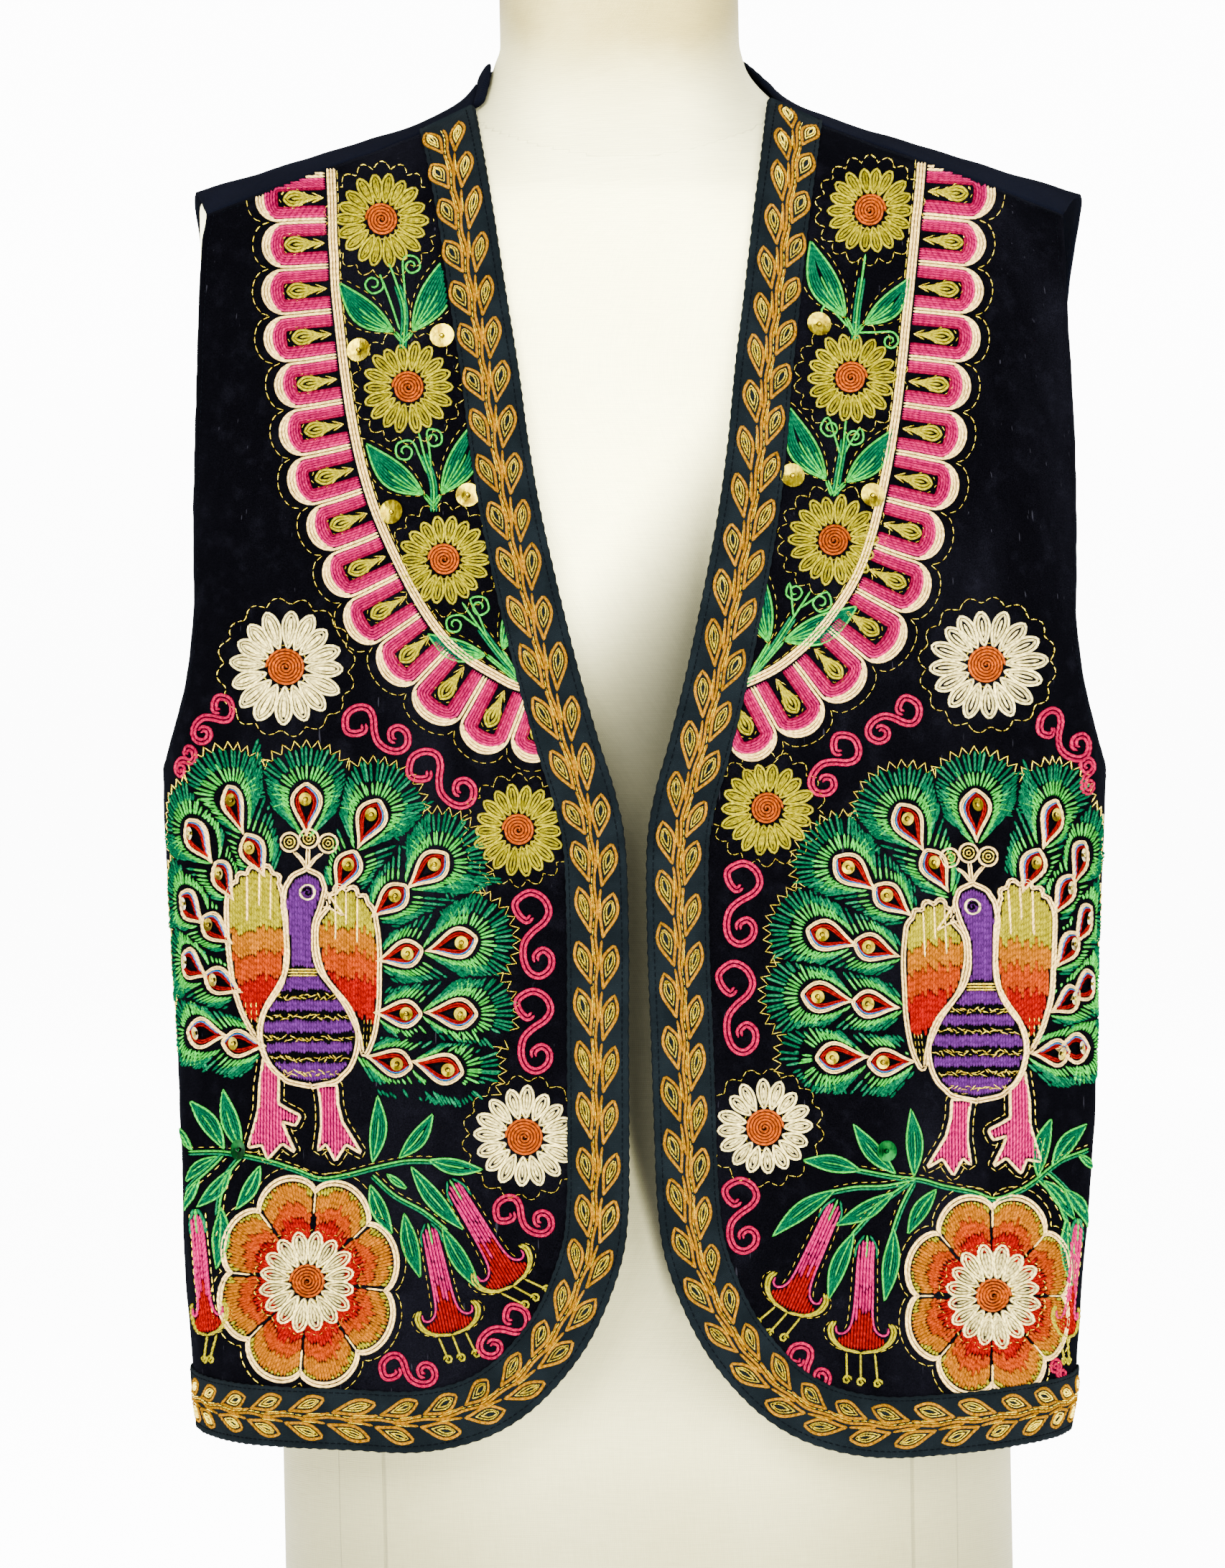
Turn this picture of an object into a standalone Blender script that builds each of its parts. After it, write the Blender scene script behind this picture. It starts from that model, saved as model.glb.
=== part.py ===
"""An embroidered folk vest worn by a limbless dress form.

Metres, +Z up. The vest's front faces -Y and the origin lies on the floor, in the middle of the form's
flat underside. Every sewn piece is a wall cut out of one cloth surface. A point of that surface has two
coordinates: `across`, the distance along the cloth from the middle (x = 0) towards the side seam, and
`up`, the distance up the cloth from the hem, over the shoulder ridge and down the other face.
"""

import math

import bpy
import numpy as np

# ---------------------------------------------------------------- driving sizes
HEM_HEIGHT = 0.120          # floor to the vest's hem
NECK_HEIGHT = 0.597         # hem to the shoulder ridge, where both ridges would meet at x = 0
SHOULDER_SLOPE = 0.300      # fall of the ridge for each metre out from the neck
SHOULDER_START = 0.330      # height above the hem where the fall begins to show in the cloth
CAP_START = 0.535           # height above the hem where the cloth starts to round over the shoulder
CAP_ARC = 0.101             # length of cloth from CAP_START to the ridge
FULLNESS = 0.85             # exponent of the plan section: 1 is an ellipse, less is squarer
CLOTH = 0.0020              # velvet with its backing
BAND_WIDTH = 0.0255
BAND_WIDTH_AT_NECK = 0.0225
BAND_THICK = 0.0010
BINDING_WIDTH = 0.0050
BINDING_THICK = 0.0030
SEAM = 0.0003               # gap left between neighbouring pieces
LEAN = 0.0195               # sideways lean of the form and of the front opening
LEAN_LEVEL = 0.270          # height above the hem where the lean crosses x = 0
TO_MIDDLE = 0.002455        # the side seams stand this far behind the middle of the whole

RIDGE = CAP_START + CAP_ARC
CAP_RISE = NECK_HEIGHT - CAP_START

# Plan sections of the cloth: height above the hem, half width, depth in front of and behind the side seam.
SECTIONS = np.array(
    [
        # up     half_w  front   back
        (0.000, 0.1885, 0.1210, 0.1150),  # hem
        (0.040, 0.1925, 0.1225, 0.1152),
        (0.150, 0.1975, 0.1240, 0.1148),  # waist
        (0.285, 0.2045, 0.1280, 0.1200),  # chest
        (0.345, 0.2050, 0.1250, 0.1230),  # underarm
        (0.430, 0.2050, 0.1110, 0.1210),  # shoulder blades
        (0.535, 0.2060, 0.0830, 0.0930),  # collar bones
        (0.600, 0.2070, 0.0700, 0.0780),  # ridge
    ]
)

# Front edge of each front: height above the hem, distance from the middle of the opening.
FRONT_EDGE = np.array(
    [
        # up     from_middle
        (0.5730, 0.0640),  # shoulder seam
        (0.5500, 0.0596),
        (0.5200, 0.0548),
        (0.4880, 0.0504),
        (0.4580, 0.0460),
        (0.4270, 0.0423),
        (0.3970, 0.0376),
        (0.3650, 0.0310),
        (0.3300, 0.0230),
        (0.3000, 0.0150),
        (0.2780, 0.0085),
        (0.2560, 0.0048),  # foot of the neckline
        (0.2170, 0.0042),
        (0.1750, 0.0050),
        (0.1350, 0.0056),
        (0.1060, 0.0064),
        (0.0830, 0.0095),  # start of the round corner
        (0.0570, 0.0190),
        (0.0370, 0.0310),
        (0.0180, 0.0490),
        (0.0060, 0.0700),
        (0.0000, 0.0970),  # end of the round corner
        (0.0000, 0.1300),
    ]
)
HEM_AT_SIDE = 0.005         # the hem rises this much at the side seam
HEM_LIFT = 0.0024           # how much higher the right front hangs

# Armhole edge: height above the hem, and how far round from the middle (0) to the side seam (1) it lies.
ARMHOLE_FRONT = np.array(
    [
        # up     round
        (0.560, 0.698),
        (0.500, 0.712),
        (0.448, 0.721),
        (0.395, 0.724),
        (0.357, 0.720),
        (0.332, 0.745),
        (0.314, 0.788),
        (0.299, 0.855),
        (0.290, 0.930),
        (0.287, 1.000),  # underarm
    ]
)
ARMHOLE_BACK = np.array(
    [
        # up     round
        (0.287, 1.000),  # underarm
        (0.292, 0.930),
        (0.305, 0.840),
        (0.330, 0.765),
        (0.370, 0.712),
        (0.420, 0.690),
        (0.470, 0.690),
        (0.525, 0.704),
        (0.570, 0.722),
    ]
)
TIP_ROUND = 0.680           # end of the shoulder seam, in the same measure
RIDGE_ROUND = 0.730         # shoulder tip on the ridge
RIDGE_FLARE = 0.003         # how much further out it stands on the left shoulder
ARMHOLE_FLARE = 0.026       # how much further out the back armhole stands on the left shoulder
ARMHOLE_DRAW = 0.014        # how much further in the front armhole stands there
SEAM_UP_AT_NECK = 0.607     # front shoulder seam, measured up the front cloth
SEAM_UP_AT_TIP = 0.591
SEAM_RUN = 0.130            # across the cloth from the neck to the tip

# Neckline seen from above: it rounds the back of the neck and opens out towards the front seams.
NECK_RADIUS = 0.0535
NECKLINE_RADIUS = 0.0590
NECKLINE_OPENS = 0.0062     # how much wider it is at the front seams
NECK_LEVEL = 0.640          # height above the hem where the neck's own lean is read
FLARE_RISE = 0.0245         # how far the cloth climbs the neck
FLARE_REACH = 0.0095
NAPE_RISE = 0.023           # the back of the neck stands higher than its sides
NAPE_WIDTH = 0.075

# Largest folds: place of the middle (across, up), direction from level in degrees, length, width, depth.
FRONT_FOLDS = (
    # across  up    turn  length width  depth
    (0.196, 0.276, 118.0, 0.105, 0.012, -0.0040),  # drag line from the underarm
    (0.176, 0.315, 106.0, 0.090, 0.010, 0.0028),
    (0.222, 0.130, 91.0, 0.200, 0.016, 0.0045),  # hangs down beside the seam
    (0.120, 0.395, 62.0, 0.130, 0.016, -0.0022),  # from the armhole towards the opening
    (0.048, 0.205, 88.0, 0.180, 0.016, -0.0022),  # behind the front band
)
BACK_FOLDS = (
    # across  up    turn  length width  depth
    (0.052, 0.150, 89.0, 0.300, 0.020, -0.0045),
    (0.094, 0.165, 92.0, 0.330, 0.017, 0.0050),
    (0.140, 0.140, 94.0, 0.280, 0.017, -0.0045),
    (0.190, 0.130, 88.0, 0.240, 0.016, 0.0045),
    (0.150, 0.345, 52.0, 0.130, 0.014, -0.0040),  # drag line from the back armhole
    (0.000, 0.250, 90.0, 0.280, 0.020, 0.0035),
)

# Dress form: height above the floor, half width, depth in front of and behind the side line.
FORM_RINGS = np.array(
    [
        # z      half_w  front   back
        (0.000, 0.1570, 0.0980, 0.0890),
        (0.060, 0.1580, 0.1000, 0.0925),
        (0.130, 0.1580, 0.1010, 0.0940),  # hips
        (0.210, 0.1480, 0.0980, 0.0900),
        (0.290, 0.1400, 0.0960, 0.0850),  # waist
        (0.390, 0.1500, 0.1060, 0.0930),
        (0.450, 0.1600, 0.1100, 0.0990),  # chest
        (0.520, 0.1720, 0.1050, 0.1025),
        (0.580, 0.1820, 0.0950, 0.1000),
        (0.630, 0.1840, 0.0850, 0.0930),  # arm stumps
        (0.720, 0.1840, 0.0800, 0.0900),
    ]
)
FORM_FULLNESS = 0.90
FORM_TOP = 0.772
NECK_TOP_ROUND = 0.010
REST_GAP = 0.0018           # from the form's shoulders to the cloth that rests on them
NECK_GAP = 0.0015           # from the form's neck to the line where the cloth turns up
ROUND_STEPS = 48
LIMIT_X = np.linspace(-0.200, 0.200, 201)
LIMIT_Y = np.linspace(-0.130, 0.130, 131)

FRONT_ROWS, FRONT_COLUMNS = 38, 13
BINDING_STEPS = 19
BAND_COLUMNS = 3
BACK_ROWS, BACK_COLUMNS = 40, 12
BACK_MIDDLE_ROWS = 26       # rows from the hem to the middle of the neckline
BACK_SEAM_ROWS = 14         # rows from the hem to the underarm
CUT_SAMPLES = 49            # samples round a quarter section when its length is measured


# ---------------------------------------------------------------- the cloth surface
def smooth_step(value, low, high):
    share = np.clip((value - low) / (high - low), 0.0, 1.0)
    return share * share * (3.0 - 2.0 * share)


def table_value(rows, key, column):
    """A column of a table at `key`, its first column, through cubic pieces with no overshoot."""
    knots, values = rows[:, 0], rows[:, column]
    slopes = np.diff(values) / np.diff(knots)
    tangents = np.empty(len(values))
    tangents[0], tangents[-1] = slopes[0], slopes[-1]
    same_way = slopes[:-1] * slopes[1:] > 0
    mean = 2 * slopes[:-1] * slopes[1:] / np.where(same_way, slopes[:-1] + slopes[1:], 1.0)
    tangents[1:-1] = np.where(same_way, mean, 0.0)
    key = np.clip(key, knots[0], knots[-1])
    index = np.clip(np.searchsorted(knots, key, side="right") - 1, 0, len(knots) - 2)
    width = knots[index + 1] - knots[index]
    t = (key - knots[index]) / width
    return (
        (1 + 2 * t) * (1 - t) ** 2 * values[index]
        + t * (1 - t) ** 2 * width * tangents[index]
        + t * t * (3 - 2 * t) * values[index + 1]
        + t * t * (t - 1) * width * tangents[index + 1]
    )


def height_of(up):
    """Height above the hem, before the shoulders fall, of the cloth `up` from the hem, and how full it is."""
    turn = np.clip((up - CAP_START) / CAP_ARC, 0.0, 1.0) * math.pi / 2
    return np.minimum(up, CAP_START) + CAP_RISE * np.sin(turn), np.cos(turn)


def section_at(up, back):
    """Half width and depth of the plan section `up` the cloth."""
    height, cap = height_of(up)
    depth = np.where(back, table_value(SECTIONS, height, 3), table_value(SECTIONS, height, 2))
    return table_value(SECTIONS, height, 1), depth * cap


def lean_at(height):
    return LEAN * (LEAN_LEVEL - height)


def height_over(x, y, up):
    """Height above the hem of the cloth at a plan point: the shoulders fall and the neck stands up."""
    height, _ = height_of(up)
    from_neck = x - lean_at(NECK_LEVEL)
    fall = SHOULDER_SLOPE * np.abs(x) * smooth_step(height, SHOULDER_START, NECK_HEIGHT)
    nape = NAPE_RISE * np.exp(-((from_neck / NAPE_WIDTH) ** 2))
    nape = nape * smooth_step(y, 0.0, 0.050) * smooth_step(height, 0.440, NECK_HEIGHT - 0.020)
    outside = np.maximum(np.hypot(from_neck, y) - NECK_RADIUS, 0.0)
    flare = FLARE_RISE * np.exp(-outside / FLARE_REACH) * smooth_step(height, 0.480, 0.560)
    return height - fall + nape + flare


def quarter(up, back):
    """Points x, y of the quarter section from the middle to the side, and the cloth's length to each."""
    half_width, depth = section_at(up, back)
    turn = np.linspace(0.0, math.pi / 2, CUT_SAMPLES)
    x = half_width[:, None] * np.sin(turn) ** FULLNESS
    y = depth[:, None] * np.cos(turn) ** FULLNESS
    steps = np.hypot(np.diff(x, axis=1), np.diff(y, axis=1))
    length = np.concatenate([np.zeros((len(up), 1)), np.cumsum(steps, axis=1)], axis=1)
    return x, y, length


def across_of_round(share, up, back):
    """Distance across the cloth of a place given as a share of the quarter turn."""
    _, _, length = quarter(up, back)
    place = share * (CUT_SAMPLES - 1)
    index = np.clip(place.astype(int), 0, CUT_SAMPLES - 2)
    rows = np.arange(len(up))
    part = place - index
    return length[rows, index] * (1 - part) + length[rows, index + 1] * part


def side_length(up, back):
    """Distance across the cloth from the middle to the side seam."""
    return quarter(up, back)[2][:, -1]


def fold_depth(across, up, back, side):
    """How far the folds push the cloth out, with the left and right sides a little unlike."""
    push = np.zeros_like(across)
    for folds, here in ((FRONT_FOLDS, ~back), (BACK_FOLDS, back)):
        for mid_across, mid_up, turn, length, width, depth in folds:
            angle = math.radians(turn)
            de, du = across - mid_across - 0.006 * side, up - mid_up - 0.010 * side
            along = de * math.cos(angle) + du * math.sin(angle)
            beside = du * math.cos(angle) - de * math.sin(angle)
            beside = beside + 0.004 * np.sin(along / length * 5.0)
            reach = np.clip(1.0 - (2.0 * along / length) ** 2, 0.0, 1.0) ** 1.5
            push = push + here * depth * reach * np.exp(-((beside / width) ** 2))
    return push


def bare_point(across, up, back, side):
    """The cloth's face without folds. `up` may pass the ridge: the cloth then comes down the other face."""
    over = up > RIDGE
    up, back = np.where(over, 2 * RIDGE - up, up), np.where(over, ~back, back)
    x_row, y_row, length = quarter(up, back)
    place = np.clip(across, 0.0, length[:, -1])
    rows = np.arange(len(up))
    index = np.clip((length <= place[:, None]).sum(axis=1) - 1, 0, CUT_SAMPLES - 2)
    low, high = length[rows, index], length[rows, index + 1]
    part = (place - low) / np.maximum(high - low, 1e-9)
    x = x_row[rows, index] * (1 - part) + x_row[rows, index + 1] * part
    y = y_row[rows, index] * (1 - part) + y_row[rows, index + 1] * part
    x, y = side * x, np.where(back, y, -y)
    return np.stack([x, y, HEM_HEIGHT + height_over(x, y, up)], axis=1)


def cloth_frame(across, up, back, side):
    """Points of the cloth's outer face with its folds, and the directions that point out of it."""
    across, up = np.asarray(across, float).ravel(), np.asarray(up, float).ravel()
    back = np.full(across.shape, back)
    step = 0.0015
    left, right = (bare_point(np.maximum(across + d, 0.0), up, back, side) for d in (-step, step))
    low, high = (bare_point(across, np.maximum(up + d, 0.0), back, side) for d in (-step, step))
    out = np.cross(right - left, high - low)
    out[:, 0] *= np.where(across < step, 0.0, 1.0)
    out *= (side if not back[0] else -side) / np.linalg.norm(out, axis=1)[:, None]
    points = bare_point(across, up, back, side)
    return points + out * fold_depth(across, up, back, side)[:, None], out


# ---------------------------------------------------------------- cutting lines
def even_curve(knots, count):
    """`count` points, evenly spaced, on a smooth curve through the knots."""
    knots = np.asarray(knots, float)
    ends = np.vstack([2 * knots[0] - knots[1], knots, 2 * knots[-1] - knots[-2]])
    fine = []
    for a, b, c, d in zip(ends, ends[1:], ends[2:], ends[3:]):
        for t in np.linspace(0, 1, 12, endpoint=False):
            fine.append(
                0.5 * (2 * b + (c - a) * t + (2 * a - 5 * b + 4 * c - d) * t**2
                       + (3 * b - a - 3 * c + d) * t**3)
            )
    fine.append(knots[-1])
    fine = np.array(fine)
    length = np.concatenate([[0], np.cumsum(np.linalg.norm(np.diff(fine, axis=0), axis=1))])
    want = np.linspace(0, length[-1], count)
    return np.stack([np.interp(want, length, fine[:, k]) for k in range(2)], axis=1)


def up_of_height(height, x):
    """How far up the front cloth a height above the hem lies, at a distance x from the middle."""
    bare = height
    for _ in range(12):
        bare = height + SHOULDER_SLOPE * x * float(smooth_step(bare, SHOULDER_START, NECK_HEIGHT))
    if bare < CAP_START:
        return bare
    return CAP_START + CAP_ARC * math.asin(min((bare - CAP_START) / CAP_RISE, 1.0)) * 2 / math.pi


def up_over(x, y):
    """How far up its own face the cloth over a plan point is cut from, y > 0 on the back."""
    low, high = np.full(x.shape, 0.30), np.full(x.shape, RIDGE)
    for _ in range(24):
        middle = (low + high) / 2
        half_width, depth = section_at(middle, y > 0)
        sine = np.clip(np.abs(x) / half_width, 0.0, 1.0) ** (1 / FULLNESS)
        inside = depth * np.sqrt(1 - sine**2) ** FULLNESS > np.abs(y)
        low, high = np.where(inside, middle, low), np.where(inside, high, middle)
    return low


def neckline(side, radius, count):
    """A line round the neck from the middle of the back to the front seam, as across and up."""
    turn = np.linspace(math.pi / 2, 0.0, 10)
    x, y = radius * np.cos(turn), radius * np.sin(turn)
    seam_y = section_at(np.array([SEAM_UP_AT_NECK]), np.array([False]))[1][0] - SEAM
    for share in (0.5, 1.0):
        x = np.append(x, radius + NECKLINE_OPENS * share)
        y = np.append(y, -seam_y * share)
    x = x + side * lean_at(NECK_LEVEL) * np.clip(x / 0.030, 0.0, 1.0) * smooth_step(y, -0.030, 0.020)
    up = up_over(x, y)
    x_row, _, length = quarter(up, y > 0)
    across = np.array([np.interp(place, xs, ls) for place, xs, ls in zip(x, x_row, length)])
    up = np.where(y > 0, up, 2 * RIDGE - up)
    up[-1] = 2 * RIDGE - SEAM_UP_AT_NECK - SEAM
    return even_curve(np.stack([across, up], axis=1), count)


def seam_up(across):
    """How far up the front cloth the shoulder seam lies."""
    return SEAM_UP_AT_NECK + (SEAM_UP_AT_TIP - SEAM_UP_AT_NECK) * (across - FRONT_EDGE[0, 1]) / SEAM_RUN


def front_edge(side, count):
    """The front edge and hem of one front, from the shoulder seam to the side seam."""
    knots = []
    for height, from_middle in FRONT_EDGE:
        x = from_middle + side * lean_at(height)
        height = height + HEM_LIFT * (side < 0) * float(1 - smooth_step(height, 0.02, 0.12))
        knots.append((x, up_of_height(height, x)))
    knots[0] = (knots[0][0], SEAM_UP_AT_NECK)
    side_end = side_length(np.array([HEM_AT_SIDE]), np.array([False]))[0] - SEAM / 2
    for share in (0.42, 0.78):
        knots.append((knots[len(FRONT_EDGE) - 1][0] * (1 - share) + side_end * share, HEM_AT_SIDE * share))
    knots.append((side_end, HEM_AT_SIDE))
    return even_curve(knots, count)


def armhole_knots(rows, back, side, shift):
    """The rows of an armhole table, shifted across on the left shoulder, as across and up."""
    share = rows[:, 1] + shift * (side > 0) * smooth_step(rows[:, 0], 0.43, 0.56)
    across = across_of_round(share, rows[:, 0], np.full(len(rows), back))
    across = np.where(share > 0.999, across - SEAM / 2, across)
    return np.stack([across, rows[:, 0]], axis=1)


def front_tip():
    """Where the shoulder seam ends at the armhole, on the front cloth."""
    up = np.array([SEAM_UP_AT_TIP])
    return across_of_round(np.array([TIP_ROUND]), up, np.array([False]))[0], SEAM_UP_AT_TIP


def front_armhole(side, count):
    """From the shoulder seam down to the underarm."""
    knots = armhole_knots(ARMHOLE_FRONT, False, side, -ARMHOLE_DRAW)
    return even_curve(np.vstack([front_tip(), knots]), count)


def back_armhole(side, count):
    """From the underarm up, over the ridge and down to the front shoulder seam."""
    knots = armhole_knots(ARMHOLE_BACK, True, side, ARMHOLE_FLARE)
    up = np.array([RIDGE])
    ridge_across = across_of_round(np.array([RIDGE_ROUND]), up, np.array([True]))[0]
    over = (ridge_across + RIDGE_FLARE * (side > 0), RIDGE - 0.004)
    tip_across, tip_up = front_tip()
    return even_curve(np.vstack([knots, over, (tip_across, 2 * RIDGE - tip_up - SEAM)]), count)


# ---------------------------------------------------------------- cut pieces, as grids of (across, up)
def inward_normals(line):
    tangent = np.gradient(line, axis=0)
    tangent /= np.linalg.norm(tangent, axis=1)[:, None]
    return np.stack([-tangent[:, 1], tangent[:, 0]], axis=1)


def front_grid(side, rows=FRONT_ROWS, columns=FRONT_COLUMNS):
    """One front: the first BAND_COLUMNS columns lie under the leaf band, the rest fan out to the armhole."""
    edge = front_edge(side, rows + 1)
    place = np.linspace(0.0, 1.0, rows + 1)
    width = BAND_WIDTH_AT_NECK + (BAND_WIDTH - BAND_WIDTH_AT_NECK) * smooth_step(place, 0.05, 0.35)
    inner = edge + inward_normals(edge) * width[:, None]
    inner[0] = edge[0] + (BAND_WIDTH_AT_NECK, 0.0)
    inner[-1] = edge[-1] + (0.0, BAND_WIDTH)
    hole = front_armhole(side, rows + 1)
    grid = np.empty((rows + 1, columns + 1, 2))
    for j in range(columns + 1):
        if j <= BAND_COLUMNS:
            share = j / BAND_COLUMNS
            grid[:, j] = edge * (1 - share) + inner * share
        else:
            share = (j - BAND_COLUMNS) / (columns - BAND_COLUMNS)
            grid[:, j] = inner * (1 - share) + hole * share
    grid[0, :, 1] = seam_up(grid[0, :, 0])
    grid[-1, :, 0] = side_length(grid[-1, :, 1], np.full(columns + 1, False)) - SEAM / 2
    return grid


def back_grid(side, rows=BACK_ROWS, columns=BACK_COLUMNS):
    """Half of the back, from the hem over the shoulder to the front seam, middle to side."""
    neck = neckline(side, NECKLINE_RADIUS + BINDING_WIDTH + SEAM, rows + 2 - BACK_MIDDLE_ROWS)
    crowd = 1.0 - (1.0 - np.linspace(0.0, 1.0, BACK_MIDDLE_ROWS)) ** 1.4
    middle_up = HEM_AT_SIDE * 0.4 + (neck[0, 1] - HEM_AT_SIDE * 0.4) * crowd
    middle = np.stack([np.zeros(BACK_MIDDLE_ROWS), middle_up], axis=1)
    inner = np.vstack([middle, neck[1:]])
    side_up = np.linspace(HEM_AT_SIDE, ARMHOLE_BACK[0, 0], BACK_SEAM_ROWS)
    seam = np.stack([side_length(side_up, np.full(BACK_SEAM_ROWS, True)) - SEAM / 2, side_up], axis=1)
    hole = back_armhole(side, rows + 2 - BACK_SEAM_ROWS)
    outer = np.vstack([seam, hole[1:]])
    share = np.linspace(0, 1, columns + 1)[None, :, None]
    grid = inner[:, None] * (1 - share) + outer[:, None] * share
    grid[-1, :, 1] = 2 * RIDGE - seam_up(grid[-1, :, 0]) - SEAM
    return grid


# ---------------------------------------------------------------- meshes
def material(name, colour, roughness, metallic=0.0):
    made = bpy.data.materials.new(name)
    made.use_nodes = True
    shader = made.node_tree.nodes["Principled BSDF"]
    shader.inputs["Base Color"].default_value = (*colour, 1.0)
    shader.inputs["Roughness"].default_value = roughness
    shader.inputs["Metallic"].default_value = metallic
    return made


def add_object(name, points, faces, finish):
    mesh = bpy.data.meshes.new(name)
    mesh.from_pydata([(x, y + TO_MIDDLE, z) for x, y, z in points.tolist()], [], faces)
    mesh.update()
    mesh.shade_smooth()
    mesh.set_sharp_from_angle(angle=math.radians(50))
    mesh.materials.append(finish)
    made = bpy.data.objects.new(name, mesh)
    bpy.context.scene.collection.objects.link(made)
    return made


def wall(name, outer, inner, triangles, finish):
    """A closed wall between two matching sheets of points; triangles are anticlockwise from outside."""
    count = len(outer)
    edges = {(a, b) for face in triangles for a, b in zip(face, face[1:] + face[:1])}
    faces = list(triangles)
    faces += [[k + count for k in reversed(face)] for face in triangles]
    faces += [[b, a, a + count, b + count] for a, b in sorted(edges) if (b, a) not in edges]
    return add_object(name, np.concatenate([outer, inner]), faces, finish)


def grid_triangles(number, flip):
    """Two triangles for each cell of a grid of point numbers, always cut along the same diagonal."""
    triangles = []
    for low, high in zip(number.tolist(), number[1:].tolist()):
        for a, b, c, d in zip(low, low[1:], high[1:], high):
            triangles += [[c, b, a], [d, c, a]] if flip else [[a, b, c], [a, c, d]]
    return triangles


def faces_of_grid(grid, back, side):
    shape = grid.shape[:2]
    points, out = cloth_frame(grid[..., 0], grid[..., 1], back, side)
    return points.reshape(*shape, 3), out.reshape(*shape, 3)


def front_panel(name, side, finish):
    points, out = faces_of_grid(front_grid(side), False, side)
    number = np.arange(points[..., 0].size).reshape(points.shape[:2])
    points, out = points.reshape(-1, 3), out.reshape(-1, 3)
    return wall(name, points, points - out * CLOTH, grid_triangles(number, side > 0), finish)


def leaf_band(name, side, finish):
    """The band lies on the front's own points, from the front edge to its inner edge."""
    points, out = faces_of_grid(front_grid(side)[:, : BAND_COLUMNS + 1], False, side)
    number = np.arange(points[..., 0].size).reshape(points.shape[:2])
    points, out = points.reshape(-1, 3), out.reshape(-1, 3)
    low = points + out * SEAM
    return wall(name, low + out * BAND_THICK, low, grid_triangles(number, side > 0), finish)


def back_panel(name, finish):
    """Both halves of the back share their points up the middle, as far as the neckline."""
    right, right_out = faces_of_grid(back_grid(1), True, 1)
    left, left_out = faces_of_grid(back_grid(-1), True, -1)
    right_number = np.arange(right[..., 0].size).reshape(right.shape[:2])
    left_number = right_number + right_number.size
    left_number[:BACK_MIDDLE_ROWS, 0] = right_number[:BACK_MIDDLE_ROWS, 0]
    faces = grid_triangles(right_number, True) + grid_triangles(left_number, False)
    points = np.concatenate([right.reshape(-1, 3), left.reshape(-1, 3)])
    out = np.concatenate([right_out.reshape(-1, 3), left_out.reshape(-1, 3)])
    used = sorted({k for face in faces for k in face})
    new_number = {k: i for i, k in enumerate(used)}
    faces = [[new_number[k] for k in face] for face in faces]
    points, out = points[used], out[used]
    return wall(name, points, points - out * CLOTH, faces, finish)


def neck_binding(name, finish):
    """A rolled strip round the back of the neck, from one front shoulder seam to the other."""
    turns = np.linspace(0.0, 2 * math.pi, 8, endpoint=False)
    halves = []
    for side in (-1, 1):
        edge_line = neckline(side, NECKLINE_RADIUS, BINDING_STEPS)
        sewn_line = neckline(side, NECKLINE_RADIUS + BINDING_WIDTH, BINDING_STEPS)
        edge, edge_out = cloth_frame(edge_line[:, 0], edge_line[:, 1], True, side)
        sewn, sewn_out = cloth_frame(sewn_line[:, 0], sewn_line[:, 1], True, side)
        out = edge_out + sewn_out
        out /= np.linalg.norm(out, axis=1)[:, None]
        centre = (edge + sewn) / 2 - out * CLOTH / 2
        reach = (sewn - edge) / 2
        ring = centre[:, None] + reach[:, None] * np.cos(turns)[None, :, None]
        halves.append(ring + out[:, None] * (BINDING_THICK / 2 * np.sin(turns))[None, :, None])
    rings = np.concatenate([halves[0][:0:-1], halves[1]])
    points = rings.reshape(-1, 3)
    number = np.arange(len(points)).reshape(rings.shape[:2])
    closed = np.concatenate([number, number[:, :1]], axis=1)
    faces = grid_triangles(closed, False) + [number[0, ::-1].tolist(), number[-1].tolist()]
    return add_object(name, points, faces, finish)


# ---------------------------------------------------------------- the dress form
def form_limit():
    """A height map of the highest the form may stand at each plan point, under the resting cloth."""
    x, y = np.meshgrid(LIMIT_X, LIMIT_Y, indexing="ij")
    top = HEM_HEIGHT + height_over(x, y, up_over(x.ravel(), y.ravel()).reshape(x.shape))
    slope_x, slope_y = np.gradient(top, LIMIT_X[1] - LIMIT_X[0], LIMIT_Y[1] - LIMIT_Y[0])
    return top - (CLOTH + REST_GAP) * np.sqrt(1 + slope_x**2 + slope_y**2)


def limit_at(limit, x, y):
    """The height map read between its points."""
    place_x = np.clip((x - LIMIT_X[0]) / (LIMIT_X[1] - LIMIT_X[0]), 0, len(LIMIT_X) - 1.001)
    place_y = np.clip((y - LIMIT_Y[0]) / (LIMIT_Y[1] - LIMIT_Y[0]), 0, len(LIMIT_Y) - 1.001)
    i, j = place_x.astype(int), place_y.astype(int)
    u, v = place_x - i, place_y - j
    low = limit[i, j] * (1 - v) + limit[i, j + 1] * v
    high = limit[i + 1, j] * (1 - v) + limit[i + 1, j + 1] * v
    return low * (1 - u) + high * u


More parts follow.
